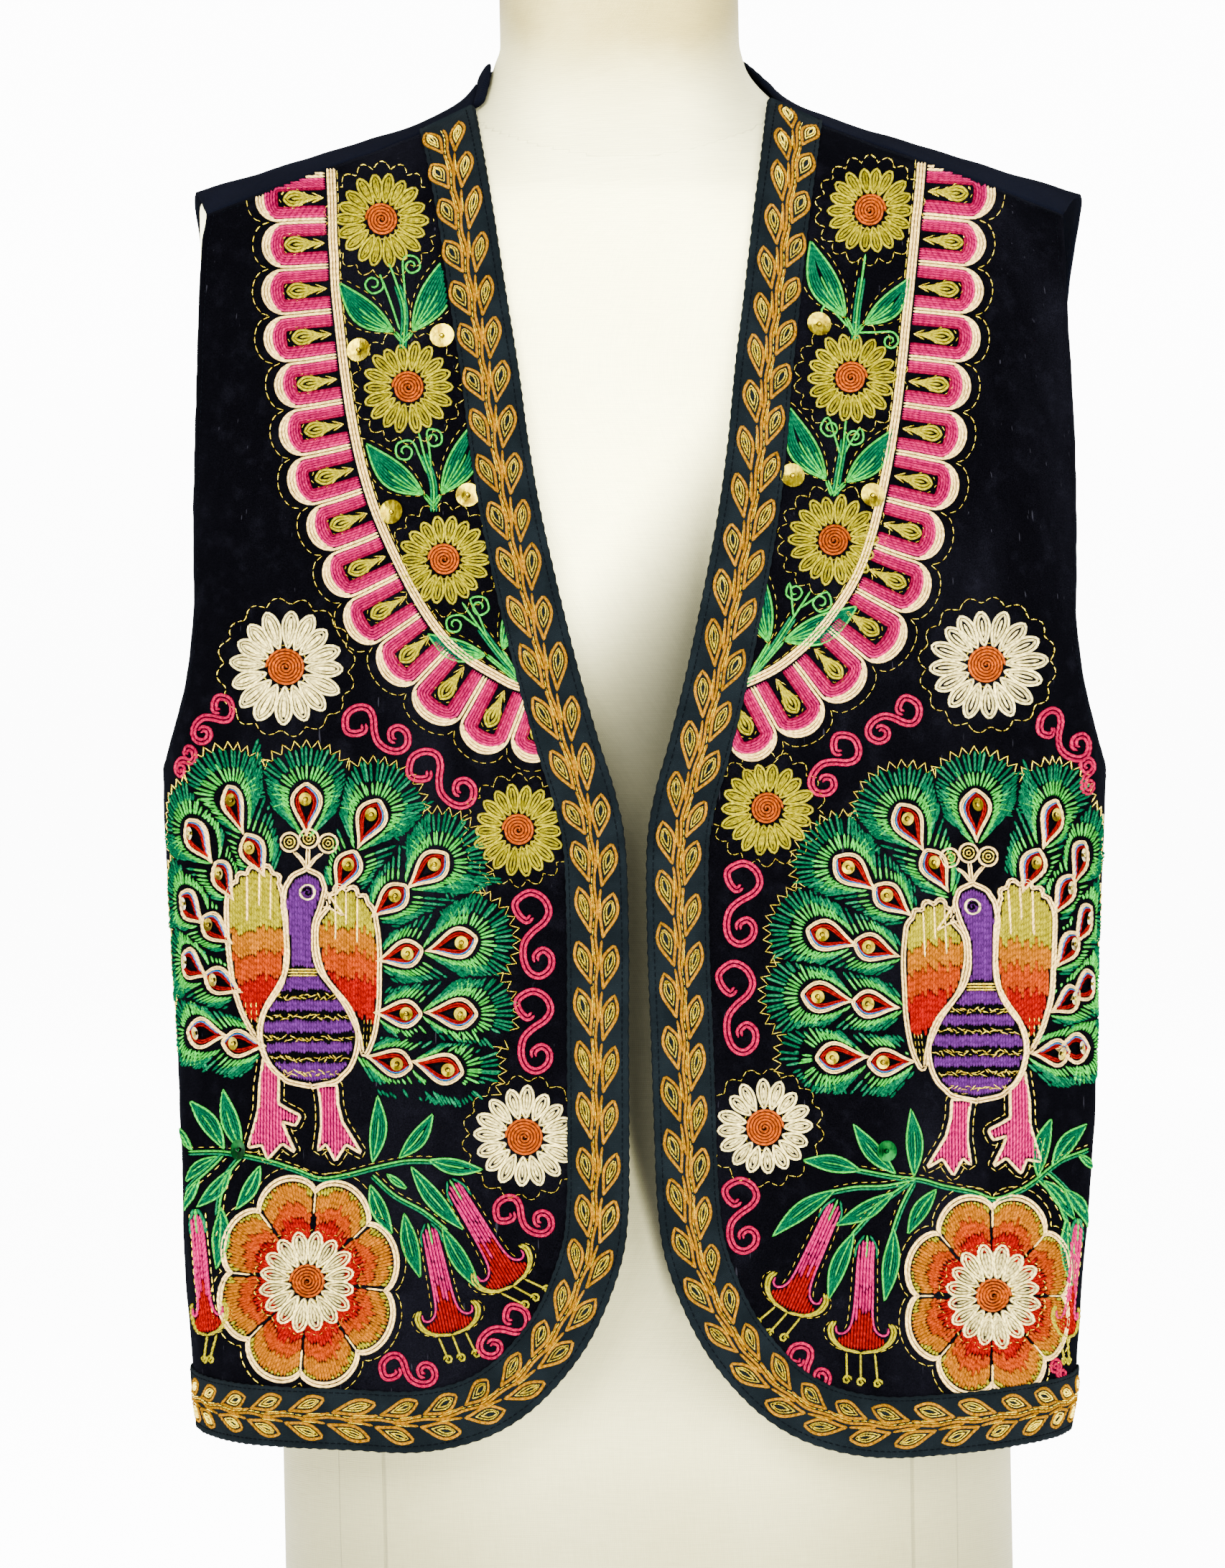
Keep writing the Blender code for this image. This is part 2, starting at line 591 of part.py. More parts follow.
def form_ring(z, limit):
    """One level ring of the form: its own section, held under the cloth at the shoulders, and the neck."""
    turn = np.linspace(0, 2 * math.pi, ROUND_STEPS, endpoint=False)
    cosine, sine = np.cos(turn), np.sin(turn)
    level = np.array([z])
    half_width = table_value(FORM_RINGS, level, 1)[0]
    front, back = table_value(FORM_RINGS, level, 2)[0], table_value(FORM_RINGS, level, 3)[0]
    depth = np.where(sine > 0, back, front)
    power = 2 / FORM_FULLNESS
    radius = (np.abs(cosine / half_width) ** power + np.abs(sine / depth) ** power) ** (-1 / power)
    centre = lean_at(z - HEM_HEIGHT)
    if z > HEM_HEIGHT + SHOULDER_START:
        low, high = np.zeros(ROUND_STEPS), radius
        for _ in range(24):
            middle = (low + high) / 2
            fits = z < limit_at(limit, centre + middle * cosine, middle * sine)
            low, high = np.where(fits, middle, low), np.where(fits, high, middle)
        radius = low
    top = np.clip((z - FORM_TOP + NECK_TOP_ROUND) / NECK_TOP_ROUND, 0.0, 1.0)
    neck = NECK_RADIUS - NECK_GAP - NECK_TOP_ROUND * (1 - math.sqrt(1 - top**2))
    if z > HEM_HEIGHT + CAP_START:
        radius = np.maximum(radius, neck)
    return np.stack([centre + radius * cosine, radius * sine, np.full(ROUND_STEPS, z)], axis=1)


def dress_form(name, finish):
    shoulder, neck = HEM_HEIGHT + 0.515, HEM_HEIGHT + 0.625
    levels = [
        *np.linspace(0.0, shoulder, 15, endpoint=False),
        *np.linspace(shoulder, neck, 20, endpoint=False),
        *np.linspace(neck, FORM_TOP - NECK_TOP_ROUND, 3, endpoint=False),
        *(FORM_TOP - NECK_TOP_ROUND + NECK_TOP_ROUND * math.sin(k * math.pi / 8) for k in range(5)),
    ]
    limit = form_limit()
    rings = np.array([form_ring(z, limit) for z in levels])
    number = np.arange(rings.shape[0] * ROUND_STEPS).reshape(-1, ROUND_STEPS)
    faces = [number[0, ::-1].tolist(), number[-1].tolist()]
    for low, high in zip(number, number[1:]):
        for k in range(ROUND_STEPS):
            n = (k + 1) % ROUND_STEPS
            faces.append([int(v) for v in (low[k], low[n], high[n], high[k])])
    return add_object(name, rings.reshape(-1, 3), faces, finish)


def build():
    for old in list(bpy.data.objects):
        bpy.data.objects.remove(old)
    velvet = material("black_velvet", (0.010, 0.010, 0.012), 0.90)
    twill = material("navy_twill", (0.016, 0.020, 0.035), 0.60)
    ribbon = material("slate_ribbon", (0.030, 0.042, 0.060), 0.70)
    linen = material("linen_cover", (0.80, 0.77, 0.70), 0.85)
    for word, side in (("left", 1), ("right", -1)):
        front_panel(f"front_{word}", side, velvet)
        leaf_band(f"leaf_band_{word}", side, ribbon)
    back_panel("back", twill)
    neck_binding("neck_binding", twill)
    dress_form("dress_form", linen)


build()
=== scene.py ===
"""Looks of an embroidered folk vest worn by a limbless dress form.

The vest's cloth is one surface. A point of it lies so far across the cloth, from the middle towards the
side seam, and so far up the cloth from the hem, over the shoulder ridge and down the other face. The
embroidery is charted flat, in millimetres of cloth, and then laid on that surface.
"""

import math

import bmesh
import bpy
import numpy as np
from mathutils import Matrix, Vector


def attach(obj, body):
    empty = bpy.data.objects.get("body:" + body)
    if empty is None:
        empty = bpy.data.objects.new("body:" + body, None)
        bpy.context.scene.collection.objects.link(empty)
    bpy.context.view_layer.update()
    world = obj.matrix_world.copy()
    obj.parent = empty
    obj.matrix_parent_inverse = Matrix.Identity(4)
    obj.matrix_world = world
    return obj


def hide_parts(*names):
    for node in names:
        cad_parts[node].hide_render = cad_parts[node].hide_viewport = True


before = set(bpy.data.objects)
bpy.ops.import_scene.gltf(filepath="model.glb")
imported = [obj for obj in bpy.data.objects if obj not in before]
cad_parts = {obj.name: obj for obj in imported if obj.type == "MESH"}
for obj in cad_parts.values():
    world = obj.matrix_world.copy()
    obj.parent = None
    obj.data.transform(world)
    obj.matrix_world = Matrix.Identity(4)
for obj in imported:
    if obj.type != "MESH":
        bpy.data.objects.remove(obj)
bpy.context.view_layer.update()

chance = np.random.default_rng(11)

# ---- the view
CAMERA_FROM = (-0.0096, -3.017545, 0.4023)
VIEW_WIDTH, SENSOR = 1706, 36.0
METRES_A_POINT = 0.0003     # one dot of the view, on the plane of the vest's front
LENS_REACH = 2.9            # from the camera to that plane

# ---- sizes of the cloth, in metres
HEM_HEIGHT = 0.120          # floor to the vest's hem
NECK_HEIGHT = 0.597         # hem to the shoulder ridge
SHOULDER_SLOPE = 0.300
SHOULDER_START = 0.330
CAP_START = 0.535           # height above the hem where the cloth starts to round over the shoulder
CAP_ARC = 0.101
CAP_RISE = NECK_HEIGHT - CAP_START
RIDGE = CAP_START + CAP_ARC
FULLNESS = 0.85             # exponent of the plan section
CLOTH = 0.0020
BAND_WIDTH = 0.0255
BAND_WIDTH_AT_NECK = 0.0225
BINDING_WIDTH = 0.0050
BINDING_THICK = 0.0030
SEAM = 0.0003
LEAN = 0.0195
LEAN_LEVEL = 0.270
TO_MIDDLE = 0.002455

# Height up the cloth, half width, and depth in front and behind: hem, waist, chest, shoulders, ridge.
SECTIONS = np.array([
    (0.000, 0.1885, 0.1210, 0.1150), (0.040, 0.1925, 0.1225, 0.1152), (0.150, 0.1975, 0.1240, 0.1148),
    (0.285, 0.2045, 0.1280, 0.1200), (0.345, 0.2050, 0.1250, 0.1230), (0.430, 0.2050, 0.1110, 0.1210),
    (0.535, 0.2060, 0.0830, 0.0930), (0.600, 0.2070, 0.0700, 0.0780),
])
# The front edge, height and distance from the middle: shoulder seam, neckline, opening, round corner.
FRONT_EDGE = np.array([
    (0.5730, 0.0640), (0.5500, 0.0596), (0.5200, 0.0548), (0.4880, 0.0504), (0.4580, 0.0460),
    (0.4270, 0.0423), (0.3970, 0.0376), (0.3650, 0.0310), (0.3300, 0.0230), (0.3000, 0.0150),
    (0.2780, 0.0085), (0.2560, 0.0048), (0.2170, 0.0042), (0.1750, 0.0050), (0.1350, 0.0056),
    (0.1060, 0.0064), (0.0830, 0.0095), (0.0570, 0.0190), (0.0370, 0.0310), (0.0180, 0.0490),
    (0.0060, 0.0700), (0.0000, 0.0970), (0.0000, 0.1300),
])
HEM_AT_SIDE = 0.005
HEM_LIFT = 0.0024
# The armholes: height up the cloth, and how far round from the middle (0) to the side (1).
ARMHOLE_FRONT = np.array([
    (0.560, 0.698), (0.500, 0.712), (0.448, 0.721), (0.395, 0.724), (0.357, 0.720),
    (0.332, 0.745), (0.314, 0.788), (0.299, 0.855), (0.290, 0.930), (0.287, 1.000),
])
ARMHOLE_BACK = np.array([
    (0.287, 1.000), (0.292, 0.930), (0.305, 0.840), (0.330, 0.765), (0.370, 0.712),
    (0.420, 0.690), (0.470, 0.690), (0.525, 0.704), (0.570, 0.722),
])
TIP_ROUND = 0.680
RIDGE_ROUND = 0.730
RIDGE_FLARE = 0.003
ARMHOLE_FLARE = 0.026
ARMHOLE_DRAW = 0.014
SEAM_UP_AT_NECK = 0.607
SEAM_UP_AT_TIP = 0.591
SEAM_RUN = 0.130
NECK_RADIUS = 0.0535
NECKLINE_RADIUS = 0.0590
NECKLINE_OPENS = 0.0062
NECK_LEVEL = 0.640
FLARE_RISE = 0.0245
FLARE_REACH = 0.0095
NAPE_RISE = 0.023
NAPE_WIDTH = 0.075
# Folds: middle across and up, turn in degrees, length, width and depth.
FRONT_FOLDS = (
    (0.196, 0.276, 118.0, 0.105, 0.012, -0.0040), (0.176, 0.315, 106.0, 0.090, 0.010, 0.0028),
    (0.222, 0.130, 91.0, 0.200, 0.016, 0.0045), (0.120, 0.395, 62.0, 0.130, 0.016, -0.0022),
    (0.048, 0.205, 88.0, 0.180, 0.016, -0.0022),
)
BACK_FOLDS = (
    (0.052, 0.150, 89.0, 0.300, 0.020, -0.0045), (0.094, 0.165, 92.0, 0.330, 0.017, 0.0050),
    (0.140, 0.140, 94.0, 0.280, 0.017, -0.0045), (0.190, 0.130, 88.0, 0.240, 0.016, 0.0045),
    (0.150, 0.345, 52.0, 0.130, 0.014, -0.0040), (0.000, 0.250, 90.0, 0.280, 0.020, 0.0035),
)
# Creases too small for the solids, in the same columns.
FRONT_CREASES = (
    (0.150, 0.500, 78.0, 0.090, 0.006, -0.0008), (0.120, 0.548, 20.0, 0.100, 0.006, -0.0009),
    (0.166, 0.430, 64.0, 0.070, 0.005, 0.0007), (0.184, 0.360, 98.0, 0.060, 0.005, -0.0010),
    (0.236, 0.215, 84.0, 0.120, 0.007, -0.0012), (0.250, 0.090, 97.0, 0.090, 0.007, 0.0010),
    (0.100, 0.070, 12.0, 0.110, 0.006, -0.0006), (0.060, 0.300, 66.0, 0.070, 0.005, -0.0006),
)
BACK_CREASES = (
    (0.030, 0.420, 84.0, 0.120, 0.008, -0.0012), (0.110, 0.470, 40.0, 0.110, 0.008, -0.0014),
    (0.145, 0.420, 68.0, 0.100, 0.007, 0.0012), (0.070, 0.330, 97.0, 0.090, 0.007, -0.0010),
    (0.122, 0.270, 86.0, 0.120, 0.008, -0.0014), (0.210, 0.255, 70.0, 0.090, 0.006, -0.0014),
    (0.165, 0.060, 99.0, 0.090, 0.008, 0.0012), (0.020, 0.060, 82.0, 0.080, 0.008, -0.0010),
    (0.090, 0.545, 12.0, 0.110, 0.007, -0.0010),
)
FOLD_SHIFT_ACROSS, FOLD_SHIFT_UP = 0.006, 0.010     # so that the two sides' folds aren't mirrored
FOLD_SWAY = 0.004
WAVE_BEHIND, WAVE_IN_FRONT, RIPPLE = 0.00030, 0.00022, 0.00008
PROBE = 0.0015              # step along the cloth to the points that give its direction
CUT_SAMPLES = 65
SETTLING_ROUNDS = 12


# ---- the cloth surface
def smooth_step(value, low, high):
    share = np.clip((value - low) / (high - low), 0.0, 1.0)
    return share * share * (3.0 - 2.0 * share)


def table_value(rows, key, column):
    """A column of a table at `key`, its first column, through cubic pieces with no overshoot."""
    knots, values = rows[:, 0], rows[:, column]
    slopes = np.diff(values) / np.diff(knots)
    tangents = np.empty(len(values))
    tangents[0], tangents[-1] = slopes[0], slopes[-1]
    same_way = slopes[:-1] * slopes[1:] > 0
    mean = 2 * slopes[:-1] * slopes[1:] / np.where(same_way, slopes[:-1] + slopes[1:], 1.0)
    tangents[1:-1] = np.where(same_way, mean, 0.0)
    key = np.clip(key, knots[0], knots[-1])
    index = np.clip(np.searchsorted(knots, key, side="right") - 1, 0, len(knots) - 2)
    width = knots[index + 1] - knots[index]
    t = (key - knots[index]) / width
    return (
        (1 + 2 * t) * (1 - t) ** 2 * values[index]
        + t * (1 - t) ** 2 * width * tangents[index]
        + t * t * (3 - 2 * t) * values[index + 1]
        + t * t * (t - 1) * width * tangents[index + 1]
    )


def height_of(up):
    turn = np.clip((up - CAP_START) / CAP_ARC, 0.0, 1.0) * math.pi / 2
    return np.minimum(up, CAP_START) + CAP_RISE * np.sin(turn), np.cos(turn)


def section_at(up, back):
    height, cap = height_of(up)
    depth = np.where(back, table_value(SECTIONS, height, 3), table_value(SECTIONS, height, 2))
    return table_value(SECTIONS, height, 1), depth * cap


def lean_at(height):
    return LEAN * (LEAN_LEVEL - height)


def height_over(x, y, up):
    """Height above the hem of the cloth at a plan point: the shoulders fall and the neck stands up."""
    height, _ = height_of(up)
    from_neck = x - lean_at(NECK_LEVEL)
    fall = SHOULDER_SLOPE * np.abs(x) * smooth_step(height, SHOULDER_START, NECK_HEIGHT)
    nape = NAPE_RISE * np.exp(-((from_neck / NAPE_WIDTH) ** 2))
    nape = nape * smooth_step(y, 0.0, 0.050) * smooth_step(height, 0.440, NECK_HEIGHT - 0.020)
    outside = np.maximum(np.hypot(from_neck, y) - NECK_RADIUS, 0.0)
    flare = FLARE_RISE * np.exp(-outside / FLARE_REACH) * smooth_step(height, 0.480, 0.560)
    return height - fall + nape + flare


def quarter(up, back):
    """Points x, y of the quarter section from the middle to the side, and the cloth's length to each."""
    half_width, depth = section_at(up, back)
    turn = np.linspace(0.0, math.pi / 2, CUT_SAMPLES)
    x = half_width[:, None] * np.sin(turn) ** FULLNESS
    y = depth[:, None] * np.cos(turn) ** FULLNESS
    steps = np.hypot(np.diff(x, axis=1), np.diff(y, axis=1))
    length = np.concatenate([np.zeros((len(up), 1)), np.cumsum(steps, axis=1)], axis=1)
    return x, y, length


def across_of_round(share, up, back):
    _, _, length = quarter(up, back)
    place = share * (CUT_SAMPLES - 1)
    index = np.clip(place.astype(int), 0, CUT_SAMPLES - 2)
    rows = np.arange(len(up))
    part = place - index
    return length[rows, index] * (1 - part) + length[rows, index + 1] * part


def side_length(up, back):
    return quarter(up, back)[2][:, -1]


def fold_depth(across, up, back, side):
    """How far folds, creases and the pull of the stitches push the cloth out."""
    push = np.zeros_like(across)
    for folds, here in ((FRONT_FOLDS + FRONT_CREASES, ~back), (BACK_FOLDS + BACK_CREASES, back)):
        for mid_across, mid_up, turn, length, width, depth in folds:
            angle = math.radians(turn)
            de, du = across - mid_across - FOLD_SHIFT_ACROSS * side, up - mid_up - FOLD_SHIFT_UP * side
            along = de * math.cos(angle) + du * math.sin(angle)
            beside = du * math.cos(angle) - de * math.sin(angle)
            beside = beside + FOLD_SWAY * np.sin(along / length * 5.0)
            reach = np.clip(1.0 - (2.0 * along / length) ** 2, 0.0, 1.0) ** 1.5
            push = push + here * depth * reach * np.exp(-((beside / width) ** 2))
    wave = np.sin(across * 196 + 1.7 * np.sin(up * 61 + side)) * np.sin(up * 143 + 1.3 * np.sin(across * 83))
    fine = np.sin(across * 431 + up * 167 + side) * np.sin(up * 389 - across * 211)
    calm = smooth_step(across, 0.0, 0.010)
    return push + calm * np.where(back, WAVE_BEHIND * wave, WAVE_IN_FRONT * wave + RIPPLE * fine)


def bare_point(across, up, back, side):
    over = up > RIDGE
    up, back = np.where(over, 2 * RIDGE - up, up), np.where(over, ~back, back)
    x_row, y_row, length = quarter(up, back)
    place = np.clip(across, 0.0, length[:, -1])
    rows = np.arange(len(up))
    index = np.clip((length <= place[:, None]).sum(axis=1) - 1, 0, CUT_SAMPLES - 2)
    low, high = length[rows, index], length[rows, index + 1]
    part = (place - low) / np.maximum(high - low, 1e-9)
    x = x_row[rows, index] * (1 - part) + x_row[rows, index + 1] * part
    y = y_row[rows, index] * (1 - part) + y_row[rows, index + 1] * part
    x, y = side * x, np.where(back, y, -y)
    return np.stack([x, y + TO_MIDDLE, HEM_HEIGHT + height_over(x, y, up)], axis=1)


def cloth_frame(across, up, back, side):
    """Points of the cloth's outer face with its folds, and the directions that point out of it."""
    across, up = np.asarray(across, float).ravel(), np.asarray(up, float).ravel()
    back = np.full(across.shape, back)
    left, right = (bare_point(np.maximum(across + d, 0.0), up, back, side) for d in (-PROBE, PROBE))
    low, high = (bare_point(across, np.maximum(up + d, 0.0), back, side) for d in (-PROBE, PROBE))
    out = np.cross(right - left, high - low)
    out[:, 0] *= np.where(across < PROBE, 0.0, 1.0)
    out *= (side if not back[0] else -side) / np.maximum(np.linalg.norm(out, axis=1), 1e-12)[:, None]
    points = bare_point(across, up, back, side)
    return points + out * fold_depth(across, up, back, side)[:, None], out


# ---- cutting lines
def even_curve(knots, count, closed=False):
    """`count` points, evenly spaced, on a smooth curve through the knots."""
    knots = np.asarray(knots, float)
    if closed:
        ends = np.vstack([knots[-1], knots, knots[0], knots[1]])
    else:
        ends = np.vstack([2 * knots[0] - knots[1], knots, 2 * knots[-1] - knots[-2]])
    t = np.linspace(0, 1, 12, endpoint=False)[:, None]
    fine = []
    for a, b, c, d in zip(ends, ends[1:], ends[2:], ends[3:]):
        fine.append(
            0.5 * (2 * b + (c - a) * t + (2 * a - 5 * b + 4 * c - d) * t**2 + (3 * b - a - 3 * c + d) * t**3)
        )
    fine = np.vstack([*fine, knots[0] if closed else knots[-1]])
    return even_line(fine, count)


def even_line(line, count):
    length = np.concatenate([[0], np.cumsum(np.hypot(*np.diff(line, axis=0).T))])
    want = np.linspace(0, length[-1], count)
    return np.stack([np.interp(want, length, line[:, k]) for k in range(2)], axis=1)


def line_length(line):
    return float(np.hypot(*np.diff(line, axis=0).T).sum())


def left_normals(line):
    tangent = np.gradient(line, axis=0)
    tangent /= np.maximum(np.linalg.norm(tangent, axis=1), 1e-9)[:, None]
    return np.stack([-tangent[:, 1], tangent[:, 0]], axis=1)


def up_of_height(height, x):
    bare = height
    for _ in range(SETTLING_ROUNDS):
        bare = height + SHOULDER_SLOPE * x * float(smooth_step(bare, SHOULDER_START, NECK_HEIGHT))
    if bare < CAP_START:
        return bare
    return CAP_START + CAP_ARC * math.asin(min((bare - CAP_START) / CAP_RISE, 1.0)) * 2 / math.pi


def up_over(x, y):
    low, high = np.full(x.shape, 0.30), np.full(x.shape, RIDGE)
    for _ in range(2 * SETTLING_ROUNDS):
        middle = (low + high) / 2
        half_width, depth = section_at(middle, y > 0)
        sine = np.clip(np.abs(x) / half_width, 0.0, 1.0) ** (1 / FULLNESS)
        inside = depth * np.sqrt(1 - sine**2) ** FULLNESS > np.abs(y)
        low, high = np.where(inside, middle, low), np.where(inside, high, middle)
    return low


def neckline(side, radius, count):
    """A line round the neck from the middle of the back to the front seam, as across and up."""
    turn = np.linspace(math.pi / 2, 0.0, 10)
    x, y = radius * np.cos(turn), radius * np.sin(turn)
    seam_y = section_at(np.array([SEAM_UP_AT_NECK]), np.array([False]))[1][0] - SEAM
    for share in (0.5, 1.0):
        x = np.append(x, radius + NECKLINE_OPENS * share)
        y = np.append(y, -seam_y * share)
    x = x + side * lean_at(NECK_LEVEL) * np.clip(x / 0.030, 0.0, 1.0) * smooth_step(y, -0.030, 0.020)
    up = up_over(x, y)
    x_row, _, length = quarter(up, y > 0)
    across = np.array([np.interp(place, xs, ls) for place, xs, ls in zip(x, x_row, length)])
    up = np.where(y > 0, up, 2 * RIDGE - up)
    up[-1] = 2 * RIDGE - SEAM_UP_AT_NECK - SEAM
    return even_curve(np.stack([across, up], axis=1), count)


def seam_up(across):
    return SEAM_UP_AT_NECK + (SEAM_UP_AT_TIP - SEAM_UP_AT_NECK) * (across - FRONT_EDGE[0, 1]) / SEAM_RUN


def front_edge(side, count):
    """The front edge and hem of one front, from the shoulder seam to the side seam."""
    knots = []
    for height, from_middle in FRONT_EDGE:
        x = from_middle + side * lean_at(height)
        height = height + HEM_LIFT * (side < 0) * float(1 - smooth_step(height, 0.02, 0.12))
        knots.append((x, up_of_height(height, x)))
    knots[0] = (knots[0][0], SEAM_UP_AT_NECK)
    side_end = side_length(np.array([HEM_AT_SIDE]), np.array([False]))[0] - SEAM / 2
    for share in (0.42, 0.78):
        knots.append((knots[len(FRONT_EDGE) - 1][0] * (1 - share) + side_end * share, HEM_AT_SIDE * share))
    knots.append((side_end, HEM_AT_SIDE))
    return even_curve(knots, count)


def armhole_knots(rows, back, side, shift):
    share = rows[:, 1] + shift * (side > 0) * smooth_step(rows[:, 0], 0.43, 0.56)
    across = across_of_round(share, rows[:, 0], np.full(len(rows), back))
    across = np.where(share > 0.999, across - SEAM / 2, across)
    return np.stack([across, rows[:, 0]], axis=1)


def front_tip():
    up = np.array([SEAM_UP_AT_TIP])
    return across_of_round(np.array([TIP_ROUND]), up, np.array([False]))[0], SEAM_UP_AT_TIP


def front_armhole(side, count):
    knots = armhole_knots(ARMHOLE_FRONT, False, side, -ARMHOLE_DRAW)
    return even_curve(np.vstack([front_tip(), knots]), count)


def back_armhole(side, count):
    knots = armhole_knots(ARMHOLE_BACK, True, side, ARMHOLE_FLARE)
    up = np.array([RIDGE])
    ridge_across = across_of_round(np.array([RIDGE_ROUND]), up, np.array([True]))[0]
    over = (ridge_across + RIDGE_FLARE * (side > 0), RIDGE - 0.004)
    tip_across, tip_up = front_tip()
    return even_curve(np.vstack([knots, over, (tip_across, 2 * RIDGE - tip_up - SEAM)]), count)


def band_width_at(place):
    """Width of the leaf band at a share of its length from the shoulder."""
    return BAND_WIDTH_AT_NECK + (BAND_WIDTH - BAND_WIDTH_AT_NECK) * smooth_step(place, 0.05, 0.35)


def front_grid(side, rows, band_columns, columns):
    """One front: the first band_columns columns lie under the leaf band, the rest fan out to the armhole."""
    edge = front_edge(side, rows + 1)
    inner = edge + left_normals(edge) * band_width_at(np.linspace(0.0, 1.0, rows + 1))[:, None]
    inner[0] = edge[0] + (BAND_WIDTH_AT_NECK, 0.0)
    inner[-1] = edge[-1] + (0.0, BAND_WIDTH)
    hole = front_armhole(side, rows + 1)
    grid = np.empty((rows + 1, columns + 1, 2))
    for j in range(columns + 1):
        if j <= band_columns:
            share = j / band_columns
            grid[:, j] = edge * (1 - share) + inner * share
        else:
            share = (j - band_columns) / (columns - band_columns)
            grid[:, j] = inner * (1 - share) + hole * share
    grid[0, :, 1] = seam_up(grid[0, :, 0])
    grid[-1, :, 0] = side_length(grid[-1, :, 1], np.full(columns + 1, False)) - SEAM / 2
    return grid


def back_grid(side, rows, middle_rows, seam_rows, columns):
    """Half of the back, from the hem over the shoulder to the front seam, middle to side."""
    neck = neckline(side, NECKLINE_RADIUS + BINDING_WIDTH + SEAM, rows + 2 - middle_rows)
    crowd = 1.0 - (1.0 - np.linspace(0.0, 1.0, middle_rows)) ** 1.4
    middle_up = HEM_AT_SIDE * 0.4 + (neck[0, 1] - HEM_AT_SIDE * 0.4) * crowd
    inner = np.vstack([np.stack([np.zeros(middle_rows), middle_up], axis=1), neck[1:]])
    side_up = np.linspace(HEM_AT_SIDE, ARMHOLE_BACK[0, 0], seam_rows)
    seam = np.stack([side_length(side_up, np.full(seam_rows, True)) - SEAM / 2, side_up], axis=1)
    outer = np.vstack([seam, back_armhole(side, rows + 2 - seam_rows)[1:]])
    share = np.linspace(0, 1, columns + 1)[None, :, None]
    grid = inner[:, None] * (1 - share) + outer[:, None] * share
    grid[-1, :, 1] = 2 * RIDGE - seam_up(grid[-1, :, 0]) - SEAM
    return grid


# ---- finishes
class Value:
    """A number that varies over a surface, with arithmetic that adds Math nodes."""

    def __init__(self, finish, socket):
        self.finish, self.socket = finish, socket

    def maths(self, operation, *terms):
        return self.finish.node("ShaderNodeMath", {"operation": operation}, dict(enumerate(terms)))

    def __abs__(self):
        return self.maths("ABSOLUTE", self)

    def part(self):
        return self.maths("FRACT", self)

    def waves(self, length):
        """A wave from -1 to 1 that repeats after each such length."""
        return self.maths("SINE", self * (2 * math.pi / length))

    def ramp(self, low, high, start=0.0, end=1.0):
        """From start to end, smoothly, as the value goes from low to high."""
        inputs = {"Value": self, "From Min": low, "From Max": high, "To Min": start, "To Max": end}
        return self.finish.node("ShaderNodeMapRange", {"interpolation_type": "SMOOTHSTEP"}, inputs)


for word, sum_name in (("add", "ADD"), ("sub", "SUBTRACT"), ("mul", "MULTIPLY"), ("pow", "POWER")):
    setattr(Value, f"__{word}__", lambda self, other, does=sum_name: self.maths(does, self, other))
    setattr(Value, f"__r{word}__", lambda self, other, does=sum_name: self.maths(does, other, self))


class Finish:
    """A material with one Principled shader, and the nodes that vary it."""

    def __init__(self, name, gleam=0.5, **constants):
        self.material = bpy.data.materials.new(name)
        self.material.use_nodes = True
        self.tree = self.material.node_tree
        self.shader = self.tree.nodes["Principled BSDF"]
        for word, value in constants.items():
            self.shader.inputs[word.replace("_", " ").title()].default_value = value
        self.shader.inputs["Specular IOR Level"].default_value = gleam

    def node(self, kind, settings, inputs, output=0):
        made = self.tree.nodes.new(kind)
        for word, value in settings.items():
            setattr(made, word, value)
        for key, value in inputs.items():
            if isinstance(value, Value):
                self.tree.links.new(value.socket, made.inputs[key])
            else:
                made.inputs[key].default_value = value
        return Value(self, made.outputs[output])

    def drive(self, word, value):
        self.tree.links.new(value.socket, self.shader.inputs[word])

    def place(self):
        return self.node("ShaderNodeTexCoord", {}, {}, "Object")

    def split(self, vector):
        return [self.node("ShaderNodeSeparateXYZ", {}, {0: vector}, k) for k in range(3)]

    def flat_place(self, name):
        """The piece's own flat coordinates: metres of cloth, or stitches along a thread and across it."""
        u, v, _ = self.split(self.node("ShaderNodeUVMap", {"uv_map": name}, {}, "UV"))
        return (u * UV_METRES, v * UV_METRES) if name == "cut" else (u, v)

    def stored(self, name, output="Fac"):
        return self.node("ShaderNodeAttribute", {"attribute_name": name}, {}, output)

    def noise(self, where, scale, detail=3.0, rough=0.55, stretch=None):
        if stretch:
            where = self.node("ShaderNodeVectorMath", {"operation": "MULTIPLY"}, {0: where, 1: stretch})
        inputs = {"Vector": where, "Scale": scale, "Detail": detail, "Roughness": rough}
        return self.node("ShaderNodeTexNoise", {}, inputs, "Fac")

    def flat_noise(self, x, y, detail, rough=0.55):
        return self.noise(self.node("ShaderNodeCombineXYZ", {}, {0: x, 1: y}), 1.0, detail, rough)

    def mix(self, share, first, second, how="MIX"):
        first, second = (c if isinstance(c, Value) else (*c, 1.0) for c in (first, second))
        inputs = {0: share, 6: first, 7: second}
        return self.node("ShaderNodeMix", {"data_type": "RGBA", "blend_type": how}, inputs, 2)

    def shade(self, colour, factor):
        """A colour made darker or lighter by a factor that varies."""
        grey = self.node("ShaderNodeCombineColor", {}, {0: factor, 1: factor, 2: factor})
        return self.mix(1.0, colour, grey, "MULTIPLY")

    def relief(self, height, metres, strength):
        inputs = {"Height": height, "Distance": metres, "Strength": strength}
        self.drive("Normal", self.node("ShaderNodeBump", {}, inputs, "Normal"))


UV_METRES = 0.7             # metres of cloth from 0 to 1 of a shell's flat coordinates

